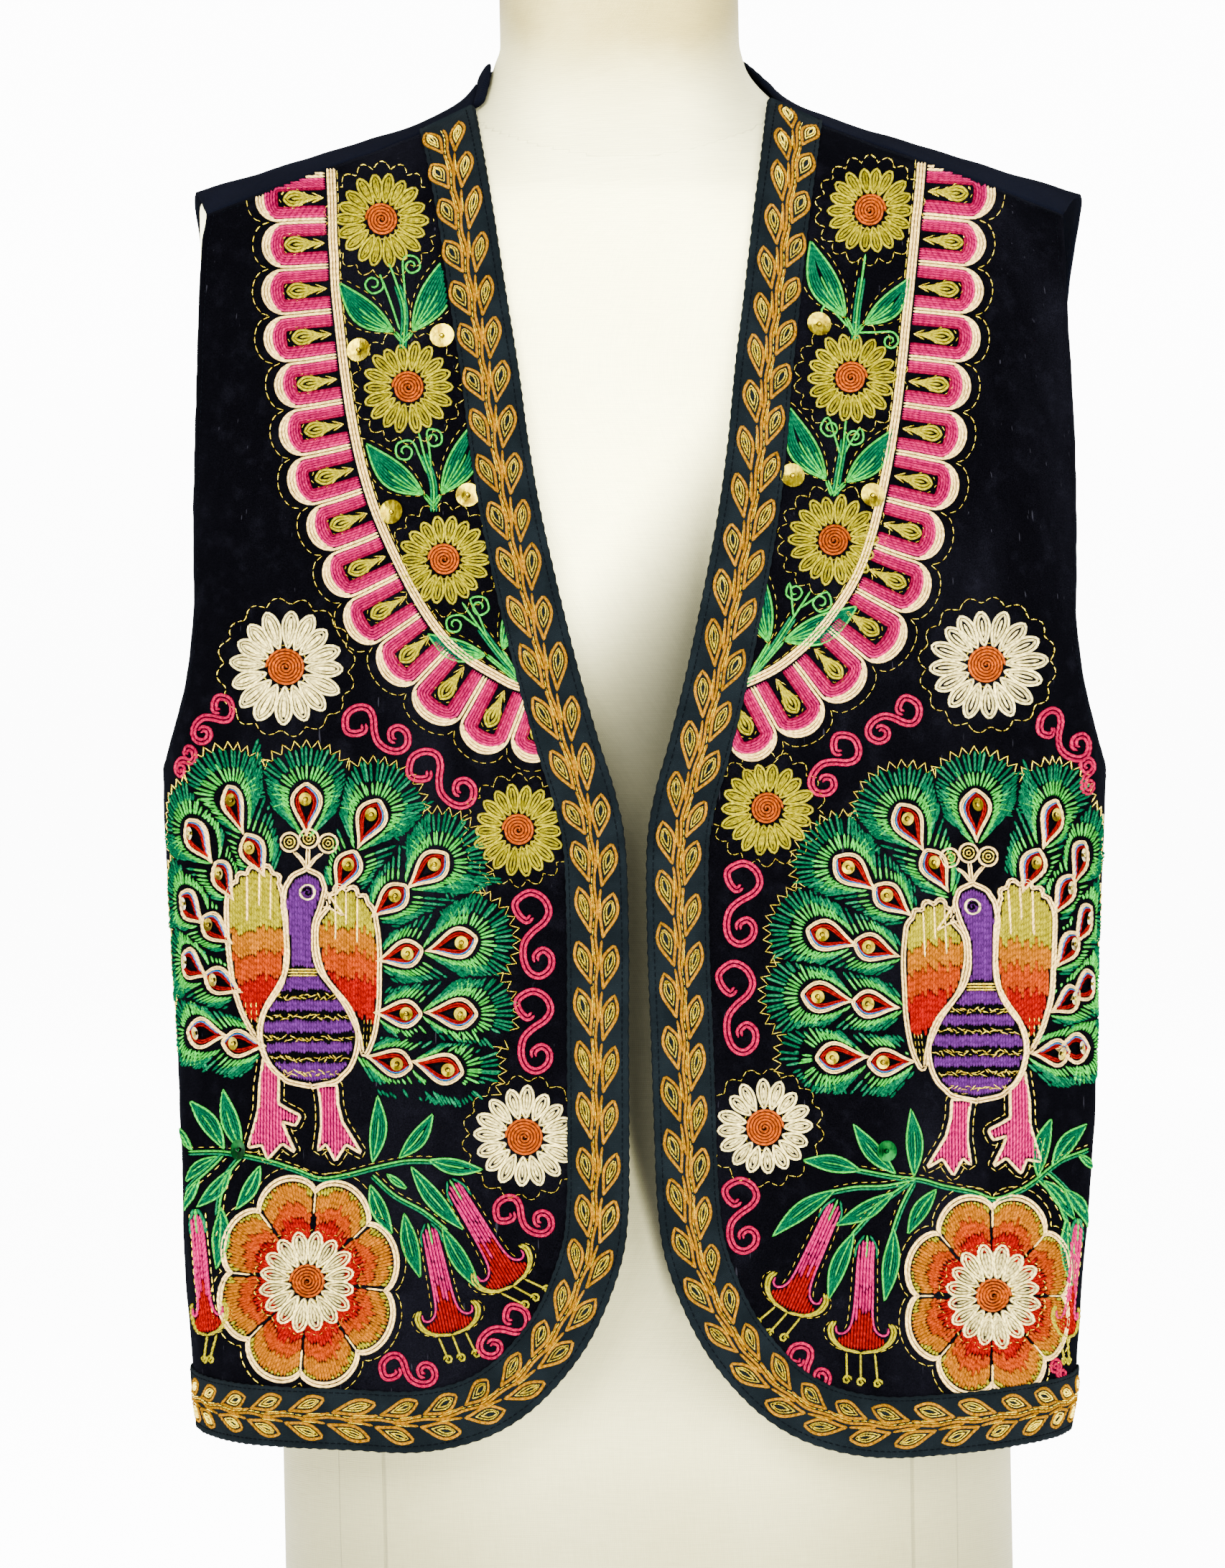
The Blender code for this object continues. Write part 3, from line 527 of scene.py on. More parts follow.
# Colours in linear light, for a strongly lit scene.
VELVET_BLACK, VELVET_GLEAM = (0.00042, 0.00040, 0.00060), (0.0016, 0.0016, 0.0025)
LINT, THREAD = (0.020, 0.020, 0.026), (0.0024, 0.0030, 0.0042)
SLATE, NAVY = (0.0017, 0.0026, 0.0031), (0.0010, 0.0012, 0.0024)
LINEN, LINEN_STAINED_AND_SHADED, NECK_LINEN = (0.86, 0.82, 0.43), (0.78, 0.71, 0.32), (0.25, 0.200, 0.056)
WHITE, CREAM = (0.63, 0.52, 0.185), (0.62, 0.41, 0.122)
OLIVE, WING_OLIVE = (0.196, 0.162, 0.0001), (0.150, 0.126, 0.0001)
ORANGE, FLAME = (0.210, 0.0310, 0.0001), (0.160, 0.0160, 0.0001)
AMBER, GOLDEN = (0.165, 0.0470, 0.0001), (0.165, 0.068, 0.0001)
SCROLL_PINK, LIGHT_PINK = (0.205, 0.0001, 0.0220), (0.270, 0.0001, 0.056)
MID_PINK, HOT_PINK = (0.225, 0.0001, 0.043), (0.185, 0.0001, 0.0315)
CRIMSON, RED = (0.090, 0.0001, 0.0115), (0.120, 0.0001, 0.0002)
DARK_GREEN, MID_GREEN = (0.0002, 0.0440, 0.0170), (0.0008, 0.0720, 0.0255)
LIGHT_GREEN, PURPLE = (0.0150, 0.240, 0.0190), (0.037, 0.0066, 0.057)
LIGHT_BLUE, BLACK_YARN = (0.0040, 0.080, 0.260), (0.0009, 0.0009, 0.0011)
# Bright and dark golds of the thread and the sequins; the finishes mix them in patches as painted glints and
# shade.
GOLD_DARK, GOLD_GLINT = (0.50, 0.33, 0.003), (1.0, 0.80, 0.020)
GOLD_FOIL = ((0.20, 0.152, 0.0002), (0.065, 0.042, 0.0001))
GREEN_FOIL = ((0.0010, 0.030, 0.0050), (0.0003, 0.010, 0.0018))
SHEEN_BLUE = (0.62, 0.70, 1.0, 1.0)


def velvet_finish():
    """Black velvet: a deep nap, with a soft sheen painted in where it is brushed or crushed."""
    made = Finish("black velvet", gleam=0.0, sheen_weight=0.0025, sheen_roughness=0.38, sheen_tint=SHEEN_BLUE)
    place = made.place()
    brushed = made.noise(place, 14.0, 4.0, 0.6, (1.0, 1.0, 0.45))
    crushed = made.noise(place, 110.0, 3.0, 0.6)
    pile = made.noise(place, 2400.0, 2.0, 0.6)
    lint = made.noise(place, 700.0, 1.0, 0.4, (1.0, 1.0, 0.12)).ramp(0.76, 0.80)
    # Painted sheen: the nap's colour is lifted towards a grey-blue gleam where it is brushed or crushed.
    lift = brushed.ramp(0.46, 0.72) * 0.55 + crushed.ramp(0.48, 0.78) * 0.40
    nap = made.shade(made.mix(lift, VELVET_BLACK, VELVET_GLEAM), pile.ramp(0.30, 0.72, 0.45, 1.5))
    made.drive("Base Color", made.mix(lint * 0.25, nap, LINT))
    made.drive("Roughness", brushed.ramp(0.40, 0.66, 0.95, 0.80))
    made.relief(pile * 0.4 + crushed * 0.9 + brushed * 0.8, 0.0006, 0.7)
    return made.material


def ribbon_finish():
    """Plain slate cotton ribbon, drawn up a little along its stitched edges."""
    made = Finish("slate ribbon", gleam=0.0, sheen_weight=0.003, sheen_roughness=0.5)
    along, beside = made.flat_place("cut")
    weave = beside.waves(0.00042) * 0.5 + along.waves(0.00050) * 0.5
    tuck = made.flat_noise(along * 300.0, beside * 60.0, 3.0)
    wear = made.noise(made.place(), 60.0, 4.0)
    light = weave.ramp(-1.0, 1.0, 0.80, 1.16) * wear.ramp(0.35, 0.68, 0.80, 1.25)
    made.drive("Base Color", made.shade(SLATE, light))
    made.drive("Roughness", wear.ramp(0.35, 0.68, 0.72, 0.86))
    made.relief(weave * 0.16 + tuck, 0.0006, 0.9)
    return made.material


def twill_finish():
    """Smooth navy twill: steep fine ridges, soft wrinkles and a dull face."""
    made = Finish("navy twill", gleam=0.0, sheen_weight=0.002, sheen_roughness=0.45)
    along, beside = made.flat_place("cut")
    ridge, yarn = (along + beside * 1.9).waves(0.00125), (beside - along * 0.15).waves(0.00045)
    wrinkle = made.flat_noise(along * 34.0, beside * 12.0, 4.0, 0.5)
    worn = made.noise(made.place(), 24.0, 4.0)
    light = ridge.ramp(-1.0, 1.0, 0.82, 1.14) * worn.ramp(0.35, 0.68, 0.86, 1.16)
    made.drive("Base Color", made.shade(NAVY, light))
    made.drive("Roughness", worn.ramp(0.35, 0.68, 0.62, 0.76))
    made.relief(ridge * 0.10 + yarn * 0.04 + wrinkle * 2.2, 0.0008, 0.8)
    return made.material


def linen_finish():
    """The form's cover: plain-woven off-white linen, creamier on the neck, sewn along its seams."""
    made = Finish("linen cover", gleam=0.15, sheen_weight=0.03)
    x, _, z = made.split(made.place())
    round_form, from_seam, above_seam = (made.stored(name) for name in ("round_form", "seam", "neck"))
    weave = round_form.waves(0.00080) * 0.5 + z.waves(0.00086) * 0.5
    slub = made.flat_noise(round_form * 90.0, z * 1500.0, 2.0)
    slub_up = made.flat_noise(round_form * 1500.0, z * 70.0, 2.0)
    age = made.noise(made.place(), 9.0, 4.0, 0.5)
    seam = abs(from_seam).ramp(0.0003, 0.0011, 1.0, 0.0)
    beside_seam = abs(from_seam).ramp(0.0010, 0.0045, 1.0, 0.0)
    neck = above_seam.ramp(0.0, 0.003, 0.0, 0.10) + above_seam.ramp(0.004, 0.055, 0.0, 0.90)
    cloth = made.mix(neck, LINEN, NECK_LINEN)
    # Random stains of aged linen, and the same darker tone painted in as shade towards the foot.
    cloth = made.mix(age.ramp(0.40, 0.66, 0.0, 0.35) + z.ramp(0.10, 0.30, 0.45, 0.0), cloth, LINEN_STAINED_AND_SHADED)
    # The weave, slubs and sewn seams, and painted shade that deepens towards the foot.
    light = weave.ramp(-1.0, 1.0, 0.93, 1.03) * slub.ramp(0.30, 0.75, 1.04, 0.94)
    light = light * slub_up.ramp(0.30, 0.75, 1.03, 0.95) * (1.0 - seam * 0.30) * z.ramp(0.04, 0.34, 0.25, 1.0)
    # Painted shade: deep between the two fronts, and milder in the band just below them.
    dusk = (x - 0.003 + (z - 0.232) * 0.25).ramp(-0.004, 0.004) * abs(x).ramp(0.024, 0.050, 1.0, 0.0)
    dusk = dusk * (z - x * 1.4 - 0.016).ramp(0.395, 0.515, 1.0, 0.0) * z.ramp(0.172, 0.212)
    pale = abs(x).ramp(0.030, 0.060, 1.0, 0.0) * z.ramp(0.118, 0.175) * z.ramp(0.26, 0.30, 1.0, 0.0)
    light = light * 0.036**dusk * 0.5 ** (pale * (1.0 - dusk))
    # The sides of the neck and of the hips turn away from the light.
    light = light * (1.0 - abs(x + 0.008).ramp(0.022, 0.058, 0.0, 0.60) * z.ramp(0.63, 0.70))
    light = light * (1.0 - abs(x - 0.008).ramp(0.040, 0.145, 0.0, 0.40) * z.ramp(0.14, 0.24, 1.0, 0.0))
    made.drive("Base Color", made.shade(cloth, light))
    made.drive("Roughness", weave.ramp(-1.0, 1.0, 0.92, 0.80))
    made.relief(weave * 0.10 + slub * 0.20 + slub_up * 0.16 - seam * 0.9 + beside_seam * 0.5, 0.0006, 0.8)
    return made.material


def yarn_finish(name):
    """Chain-stitched yarn: two strands of each stitch lean towards its middle and fray a little."""
    made = Finish(name, gleam=0.0, roughness=0.85)
    along, beside = made.flat_place("stitch")
    from_crest = abs(beside - 0.5) * 2.0
    hollow = abs((along + from_crest * 0.55).part() - 0.5).ramp(0.28, 0.50)
    fibre = (along * 5.0 + from_crest * 3.0).waves(1.0)
    place = made.place()
    fuzz, mottle = made.noise(place, 1900.0, 3.0, 0.65), made.noise(place, 520.0, 3.0, 0.6)
    # Painted shade: darker down the groove between each stitch's two strands, in the hollows between stitches
    # and where the yarn meets the cloth; the same marks sink the relief.
    shaded_creases = from_crest.ramp(0.05, 0.22, 0.26, 0.0) + hollow * 0.8 + from_crest.ramp(0.72, 1.0, 0.0, 0.55)
    light = fuzz.ramp(0.30, 0.72, 0.74, 1.22) * (1.0 - shaded_creases * 0.55) * fibre.ramp(-1.0, 1.0, 0.90, 1.07)
    light = light * mottle.ramp(0.34, 0.66, 0.72, 1.24)
    made.drive("Base Color", made.shade(made.stored("yarn", "Color"), light))
    made.relief(fibre * 0.14 + fuzz * 0.75 - shaded_creases, 0.0004, 0.9)
    return made.material


def gold_thread_finish():
    """Metal-wrapped thread: fine turns that glint one by one."""
    made = Finish("gold thread", metallic=1.0, roughness=0.34)
    along, beside = made.flat_place("stitch")
    turns = (along * 6.0 + beside * 1.4).waves(1.0)
    glint = made.node("ShaderNodeTexVoronoi", {}, {"Vector": made.place(), "Scale": 1500.0}, "Color")
    spark, _, other = made.split(glint)
    # Painted glints and shade: small cells are painted from dark to bright gold, and the colour darkens
    # between the turns.
    tone = made.mix(spark.ramp(0.25, 0.9), GOLD_DARK, GOLD_GLINT)
    made.drive("Base Color", made.shade(tone, turns.ramp(-1.0, 1.0, 0.70, 1.12)))
    made.drive("Roughness", other.ramp(0.0, 1.0, 0.22, 0.48))
    made.relief(turns * 0.6 + spark * 0.9, 0.0003, 0.9)
    return made.material


def sequin_finish(name, colour, dark):
    """A stamped metallised disc: bright facets and fine scratches."""
    made = Finish(name, metallic=1.0, roughness=0.16)
    place = made.place()
    scratch = made.noise(place, 900.0, 2.0, 0.5, (1.0, 1.0, 0.15))
    # Painted highlights: patches of each disc are painted in its bright colour, the rest in its dark one.
    made.drive("Base Color", made.mix(made.noise(place, 260.0, 2.0).ramp(0.36, 0.66), colour, dark))
    made.drive("Roughness", scratch.ramp(0.35, 0.70, 0.10, 0.30))
    made.relief(scratch, 0.00006, 0.6)
    return made.material


velvet, slate_ribbon = velvet_finish(), ribbon_finish()
navy_twill, linen_cover = twill_finish(), linen_finish()
wool, sewing_thread = yarn_finish("wool yarn"), yarn_finish("sewing thread")
gold_thread = gold_thread_finish()
gold_foil = sequin_finish("gold sequin", *GOLD_FOIL)
green_foil = sequin_finish("green sequin", *GREEN_FOIL)


# ---- meshes
def new_mesh(name, points, faces, flat=None, flat_name="cut"):
    """A smooth mesh from points and groups of faces; `flat` gives each point's flat coordinates."""
    corners = np.concatenate([np.ravel(group) for group in faces]).astype(np.int32)
    totals = np.concatenate([np.full(len(group), len(group[0]), np.int32) for group in faces])
    mesh = bpy.data.meshes.new(name)
    mesh.vertices.add(len(points))
    mesh.vertices.foreach_set("co", np.asarray(points, np.float32).ravel())
    mesh.loops.add(len(corners))
    mesh.loops.foreach_set("vertex_index", corners)
    mesh.polygons.add(len(totals))
    mesh.polygons.foreach_set("loop_start", np.concatenate([[0], np.cumsum(totals)[:-1]]).astype(np.int32))
    mesh.polygons.foreach_set("loop_total", totals)
    if flat is not None:
        layer = mesh.uv_layers.new(name=flat_name)
        layer.data.foreach_set("uv", flat[corners].astype(np.float32).ravel())
    mesh.update(calc_edges=True)
    mesh.shade_smooth()
    return mesh


def face_outwards(mesh, doubles=None):
    """Turns every face of a closed mesh to point out of it, once its doubles are merged."""
    shape = bmesh.new()
    shape.from_mesh(mesh)
    if doubles:
        bmesh.ops.remove_doubles(shape, verts=shape.verts, dist=doubles)
    bmesh.ops.recalc_face_normals(shape, faces=shape.faces)
    shape.to_mesh(mesh)
    shape.free()


def new_object(name, data):
    made = bpy.data.objects.new(name, data)
    bpy.context.scene.collection.objects.link(made)
    return made


def add_piece(name, mesh, finish, replaced=None):
    """Sets a mesh in the scene as a piece of the vest, or of what it hangs on."""
    mesh.materials.append(finish)
    made = new_object(name, mesh)
    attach(made, "root")
    if replaced:
        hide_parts(replaced)
    return made


def cells(number):
    """The four corners of each cell of a grid of point numbers."""
    corners = [number[:-1, :-1], number[:-1, 1:], number[1:, 1:], number[1:, :-1]]
    return np.stack([corner.ravel() for corner in corners], axis=1)


def closed_rings(rings):
    """Point numbers of a row of closed rings, and the cells between them."""
    number = np.arange(rings.shape[0] * rings.shape[1]).reshape(rings.shape[:2])
    return number, cells(np.concatenate([number, number[:, :1]], axis=1))


def cloth_wall(name, points, out, faces, swell, flat):
    """A closed wall of cloth under its outer points, with a rounded rim that swells by so much."""
    count = len(points)
    inner = points - out * CLOTH
    ends = np.stack([faces, np.roll(faces, -1, axis=1)], axis=2).reshape(-1, 2)
    border = ends[~np.isin(ends[:, 0] * count + ends[:, 1], ends[:, 1] * count + ends[:, 0])]
    away = np.zeros((count, 3))
    from_face = points[faces] - points[faces].mean(axis=1)[:, None]
    for k in range(4):
        np.add.at(away, faces[:, k], from_face[:, k])
    ring = np.unique(border)
    away = away[ring] - out[ring] * (away[ring] * out[ring]).sum(axis=1)[:, None]
    away /= np.maximum(np.linalg.norm(away, axis=1), 1e-9)[:, None]
    middle = (points[ring] + inner[ring]) / 2 + away * swell[ring][:, None]
    place = np.zeros(count, int)
    place[ring] = 2 * count + np.arange(len(ring))
    a, b = border[:, 0], border[:, 1]
    rims = [np.stack([b, a, place[a], place[b]], axis=1),
            np.stack([place[b], place[a], a + count, b + count], axis=1)]
    mesh = new_mesh(name, np.concatenate([points, inner, middle]), [faces, faces[:, ::-1] + count, *rims],
                    np.concatenate([flat, flat, flat[ring]]) / UV_METRES)
    face_outwards(mesh)
    return mesh


def swept(name, rings, flat):
    """A closed mesh through a row of closed rings, its ends filled across."""
    number, sides = closed_rings(rings)
    around = rings.shape[1]
    half = np.arange(around // 2 - 1)
    ends = [np.stack([end[half], end[half + 1], end[around - 2 - half], end[around - 1 - half]], axis=1)
            for end in (number[0], number[-1])]
    mesh = new_mesh(name, rings.reshape(-1, 3), [sides, *ends], flat.reshape(-1, 2) / UV_METRES)
    face_outwards(mesh)
    return mesh


# ---- the vest's shells
SHELL_ROWS, SHELL_BAND_COLUMNS, SHELL_COLUMNS = 200, 6, 68
BACK_ROWS, BACK_COLUMNS, BACK_MIDDLE_ROWS, BACK_SEAM_ROWS = 168, 50, 110, 58
FOLD_BACK = 0.0012          # the velvet stops this far inside the ribbon's folded edge
VELVET_RIM, TWILL_RIM = 0.0005, 0.0006


def velvet_front(word, side):
    """One velvet front, from inside the ribbon's fold to the armhole and the seams."""
    grid = front_grid(side, SHELL_ROWS, SHELL_BAND_COLUMNS, SHELL_COLUMNS)
    step = grid[:, 1] - grid[:, 0]
    grid[:, 0] += step * (FOLD_BACK / np.maximum(np.linalg.norm(step, axis=1), 1e-6))[:, None]
    points, out = cloth_frame(grid[..., 0], grid[..., 1], False, side)
    number = np.arange(len(points)).reshape(grid.shape[:2])
    swell = np.zeros(len(points))
    swell[number[2:-2, -1]] = VELVET_RIM
    name = f"velvet_front_{word}"
    mesh = cloth_wall(name, points, out, cells(number), swell, grid.reshape(-1, 2))
    return add_piece(name, mesh, velvet, f"front_{word}")


RIBBON_ROWS = 500
RIBBON_TOP = 0.0013
# The folded ribbon's outline: how far in from its outer edge and how high over the velvet, in mm. Rows
# whose first number is negative lie beyond the velvet's edge; those of the inner edge count back from it.
RIBBON_FOLD = (
    (3.60, 1.30), (2.95, 1.22), (2.50, 1.02), (2.05, 1.20), (1.30, 1.36), (0.50, 1.28), (0.00, 1.02),
    (-0.32, 0.40), (-0.42, -0.50), (-0.36, -1.40), (-0.10, -2.15), (0.35, -2.50), (0.80, -2.40),
    (0.95, -1.60), (0.95, -0.60), (0.95, 0.22), (1.60, 0.32),
)
RIBBON_INNER = (
    (0.00, 0.36), (-0.05, 0.80), (0.25, 1.16), (0.95, 1.28), (1.60, 1.04), (2.20, 1.22), (3.00, 1.30),
)
RIBBON_MIDDLE = (0.16, 0.34, 0.52, 0.70)
FOLD_STEP = 0.0010


def ribbon_lines(side, rows):
    """The folded edge of the ribbon, its inward directions and its width, from shoulder to side seam."""
    edge = front_edge(side, rows)
    inward = left_normals(edge)
    inward[0], inward[-1] = (1.0, 0.0), (0.0, 1.0)
    return edge, inward, band_width_at(np.linspace(0.0, 1.0, rows))


def folded_ribbon(word, side):
    """The slate ribbon, folded over the front edge and drawn into small tucks along both stitch lines."""
    edge, inward, width = ribbon_lines(side, RIBBON_ROWS)
    place = np.linspace(0.0, line_length(edge), RIBBON_ROWS) * 1000
    tuck = np.sin(place * 2 * math.pi / 5.3 + 1.6 * np.sin(place / 23.0 + side))
    other = np.sin(place * 2 * math.pi / 6.1 + 1.9 * np.sin(place / 31.0 - side) + 2.0)
    # For each line along the ribbon: how far in it lies, how high, how much tucks lift it, and its cut place.
    lines = []
    for mm, high in RIBBON_FOLD:
        push = 0.20 * (math.exp(-((mm - 0.9) / 1.3) ** 2) * (high > 0)) * tuck
        lines.append((mm / 1000 - 0.00022 * tuck * (mm < 1.0), high, push, 0.010 * (high < 0.9)))
    for mm, high in RIBBON_INNER:
        push = 0.14 * other * math.exp(-((mm - 0.7) / 1.0) ** 2)
        lines.append((width - mm / 1000 - 0.00020 * other * (mm < 0.6), high, push, 0.0))
    for share in RIBBON_MIDDLE:
        push = 0.07 * np.sin(place / 2.1 + 4.0 * share + np.sin(place / 17.0))
        lines.append((width - 0.0040 - (width - 0.0080) * share, 1.30, push, 0.0))
    near = edge + inward * FOLD_STEP
    edge_points, near_points = (cloth_frame(*line.T, False, side)[0] for line in (edge, near))
    inwards = (near_points - edge_points) / FOLD_STEP
    rings, flats = [], []
    for beside, high, push, under in lines:
        flat = edge + inward * np.maximum(beside, 0.0)[:, None]
        points, out = cloth_frame(*flat.T, False, side)
        points = points + inwards * np.minimum(beside, 0.0)[:, None]
        rings.append(points + out * ((high + push) / 1000)[:, None])
        flats.append(np.stack([place / 1000, beside + under], axis=1))
    name = f"ribbon_band_{word}"
    mesh = swept(name, np.stack(rings, axis=1), np.stack(flats, axis=1))
    return add_piece(name, mesh, slate_ribbon, f"leaf_band_{word}")


def twill_back():
    """The whole back with its shoulders, which come over the ridge to the front seams."""
    halves = []
    for side in (1, -1):
        grid = back_grid(side, BACK_ROWS, BACK_MIDDLE_ROWS, BACK_SEAM_ROWS, BACK_COLUMNS)
        points, out = cloth_frame(grid[..., 0], grid[..., 1], True, side)
        halves.append((grid.reshape(-1, 2) * (side, 1), points, out))
    flat, points, out = (np.concatenate([a, b]) for a, b in zip(*halves))
    first = np.arange(len(points) // 2).reshape(BACK_ROWS + 1, BACK_COLUMNS + 1)
    second = first + first.size
    joined, copied = first[:BACK_MIDDLE_ROWS, 0], second[:BACK_MIDDLE_ROWS, 0].copy()
    second[:BACK_MIDDLE_ROWS, 0] = joined
    for values in (points, out):
        values[joined] = (values[joined] + values[copied]) / 2
    swell = np.zeros(len(points))
    for half in (first, second):
        swell[half[BACK_SEAM_ROWS + 2 : -2, -1]] = TWILL_RIM
    swell[first[0, :-1]] = swell[second[0, 1:-1]] = TWILL_RIM
    used, faces = np.unique(np.concatenate([cells(first)[:, ::-1], cells(second)]), return_inverse=True)
    mesh = cloth_wall("twill_back", points[used], out[used], faces.reshape(-1, 4), swell[used], flat[used])
    return add_piece("twill_back", mesh, navy_twill, "back")


ROLL_ROWS, ROLL_SIDES = 110, 20


def neck_roll():
    """The binding round the back of the neck, sewn down with small tucks."""
    turns = np.linspace(0.0, 2 * math.pi, ROLL_SIDES, endpoint=False)
    square = np.sign(np.cos(turns)) * np.abs(np.cos(turns)) ** 0.7
    halves, flats = [], []
    for side in (-1, 1):
        lines = [neckline(side, NECKLINE_RADIUS + wide, ROLL_ROWS) for wide in (0.0, BINDING_WIDTH)]
        (edge, edge_out), (sewn, sewn_out) = (cloth_frame(*line.T, True, side) for line in lines)
        out = edge_out + sewn_out
        out /= np.linalg.norm(out, axis=1)[:, None]
        place = np.linspace(0.0, line_length(lines[0]), ROLL_ROWS)
        puff = 1.0 + 0.10 * np.sin(place / 0.0011 + 2.0 * np.sin(place / 0.009))
        centre = (edge + sewn) / 2 - out * CLOTH / 2
        ring = centre[:, None] + ((sewn - edge) / 2)[:, None] * square[None, :, None]
        rise = BINDING_THICK / 2 * puff[:, None] * np.sin(turns)[None]
        halves.append(ring + out[:, None] * rise[..., None])
        across = 0.0004 * np.arange(ROLL_SIDES)[None]
        flats.append(np.stack(np.broadcast_arrays(side * place[:, None], across), axis=2))
    rings, flat = (np.concatenate([parts[0][:0:-1], parts[1]]) for parts in (halves, flats))
    return add_piece("neck_roll", swept("neck_roll", rings, flat), navy_twill, "neck_binding")


# ---- the dress form
# Height above the floor, half width, and depth in front and behind: foot, hips, waist, chest, arm stumps.
FORM_RINGS = np.array([
    (0.000, 0.1570, 0.0980, 0.0890), (0.060, 0.1580, 0.1000, 0.0925), (0.130, 0.1580, 0.1010, 0.0940),
    (0.210, 0.1480, 0.0980, 0.0900), (0.290, 0.1400, 0.0960, 0.0850), (0.390, 0.1500, 0.1060, 0.0930),
    (0.450, 0.1600, 0.1100, 0.0990), (0.520, 0.1720, 0.1050, 0.1025), (0.580, 0.1820, 0.0950, 0.1000),
    (0.630, 0.1840, 0.0850, 0.0930), (0.720, 0.1840, 0.0800, 0.0900),
])
FORM_FULLNESS = 0.90
FORM_TOP = 0.772
NECK_TOP_ROUND = 0.010
REST_GAP = 0.0018
NECK_GAP = 0.0015
FORM_STEPS = 180
LIMIT_X = np.linspace(-0.200, 0.200, 201)
LIMIT_Y = np.linspace(-0.130, 0.130, 131)
# The neck seam: height above the floor at the front of the neck, and how it climbs to the back.
NECK_SEAM_FRONT = 0.668
NECK_SEAM_RISE = 0.034
PRINCESS_FRONT, PRINCESS_BACK, PRINCESS_TAPER = 0.112, 0.108, 0.030
NO_SEAM = 0.05


def form_limit():
    """The highest the form may stand at each plan point, under the resting cloth."""
    x, y = np.meshgrid(LIMIT_X, LIMIT_Y, indexing="ij")
    top = HEM_HEIGHT + height_over(x, y, up_over(x.ravel(), y.ravel()).reshape(x.shape))
    slope_x, slope_y = np.gradient(top, LIMIT_X[1] - LIMIT_X[0], LIMIT_Y[1] - LIMIT_Y[0])
    return top - (CLOTH + REST_GAP) * np.sqrt(1 + slope_x**2 + slope_y**2)


def limit_at(limit, x, y):
    places = (np.clip((value - axis[0]) / (axis[1] - axis[0]), 0, len(axis) - 1.001)
              for value, axis in ((x, LIMIT_X), (y, LIMIT_Y)))
    return between(limit, *places)


def between(table, i_place, j_place):
    """A grid's values read between its points."""
    i, j = i_place.astype(int), j_place.astype(int)
    u, v = i_place - i, j_place - j
    if table.ndim > 2:
        u, v = u[..., None], v[..., None]
    low = table[i, j] * (1 - v) + table[i, j + 1] * v
    high = table[i + 1, j] * (1 - v) + table[i + 1, j + 1] * v
    return low * (1 - u) + high * u


def form_ring(z, limit):
    turn = np.linspace(0, 2 * math.pi, FORM_STEPS, endpoint=False)
    cosine, sine = np.cos(turn), np.sin(turn)
    half_width, front, back = (table_value(FORM_RINGS, np.array([z]), column)[0] for column in (1, 2, 3))
    depth = np.where(sine > 0, back, front)
    power = 2 / FORM_FULLNESS
    radius = (np.abs(cosine / half_width) ** power + np.abs(sine / depth) ** power) ** (-1 / power)
    centre = lean_at(z - HEM_HEIGHT)
    if z > HEM_HEIGHT + SHOULDER_START:
        low, high = np.zeros(FORM_STEPS), radius
        for _ in range(20):
            middle = (low + high) / 2
            fits = z < limit_at(limit, centre + middle * cosine, middle * sine)
            low, high = np.where(fits, middle, low), np.where(fits, high, middle)
        radius = low
    top = np.clip((z - FORM_TOP + NECK_TOP_ROUND) / NECK_TOP_ROUND, 0.0, 1.0)
    neck = NECK_RADIUS - NECK_GAP - NECK_TOP_ROUND * (1 - math.sqrt(1 - top**2))
    if z > HEM_HEIGHT + CAP_START:
        radius = np.maximum(radius, neck)
    return np.stack([centre + radius * cosine, radius * sine + TO_MIDDLE, np.full(FORM_STEPS, z)], axis=1)


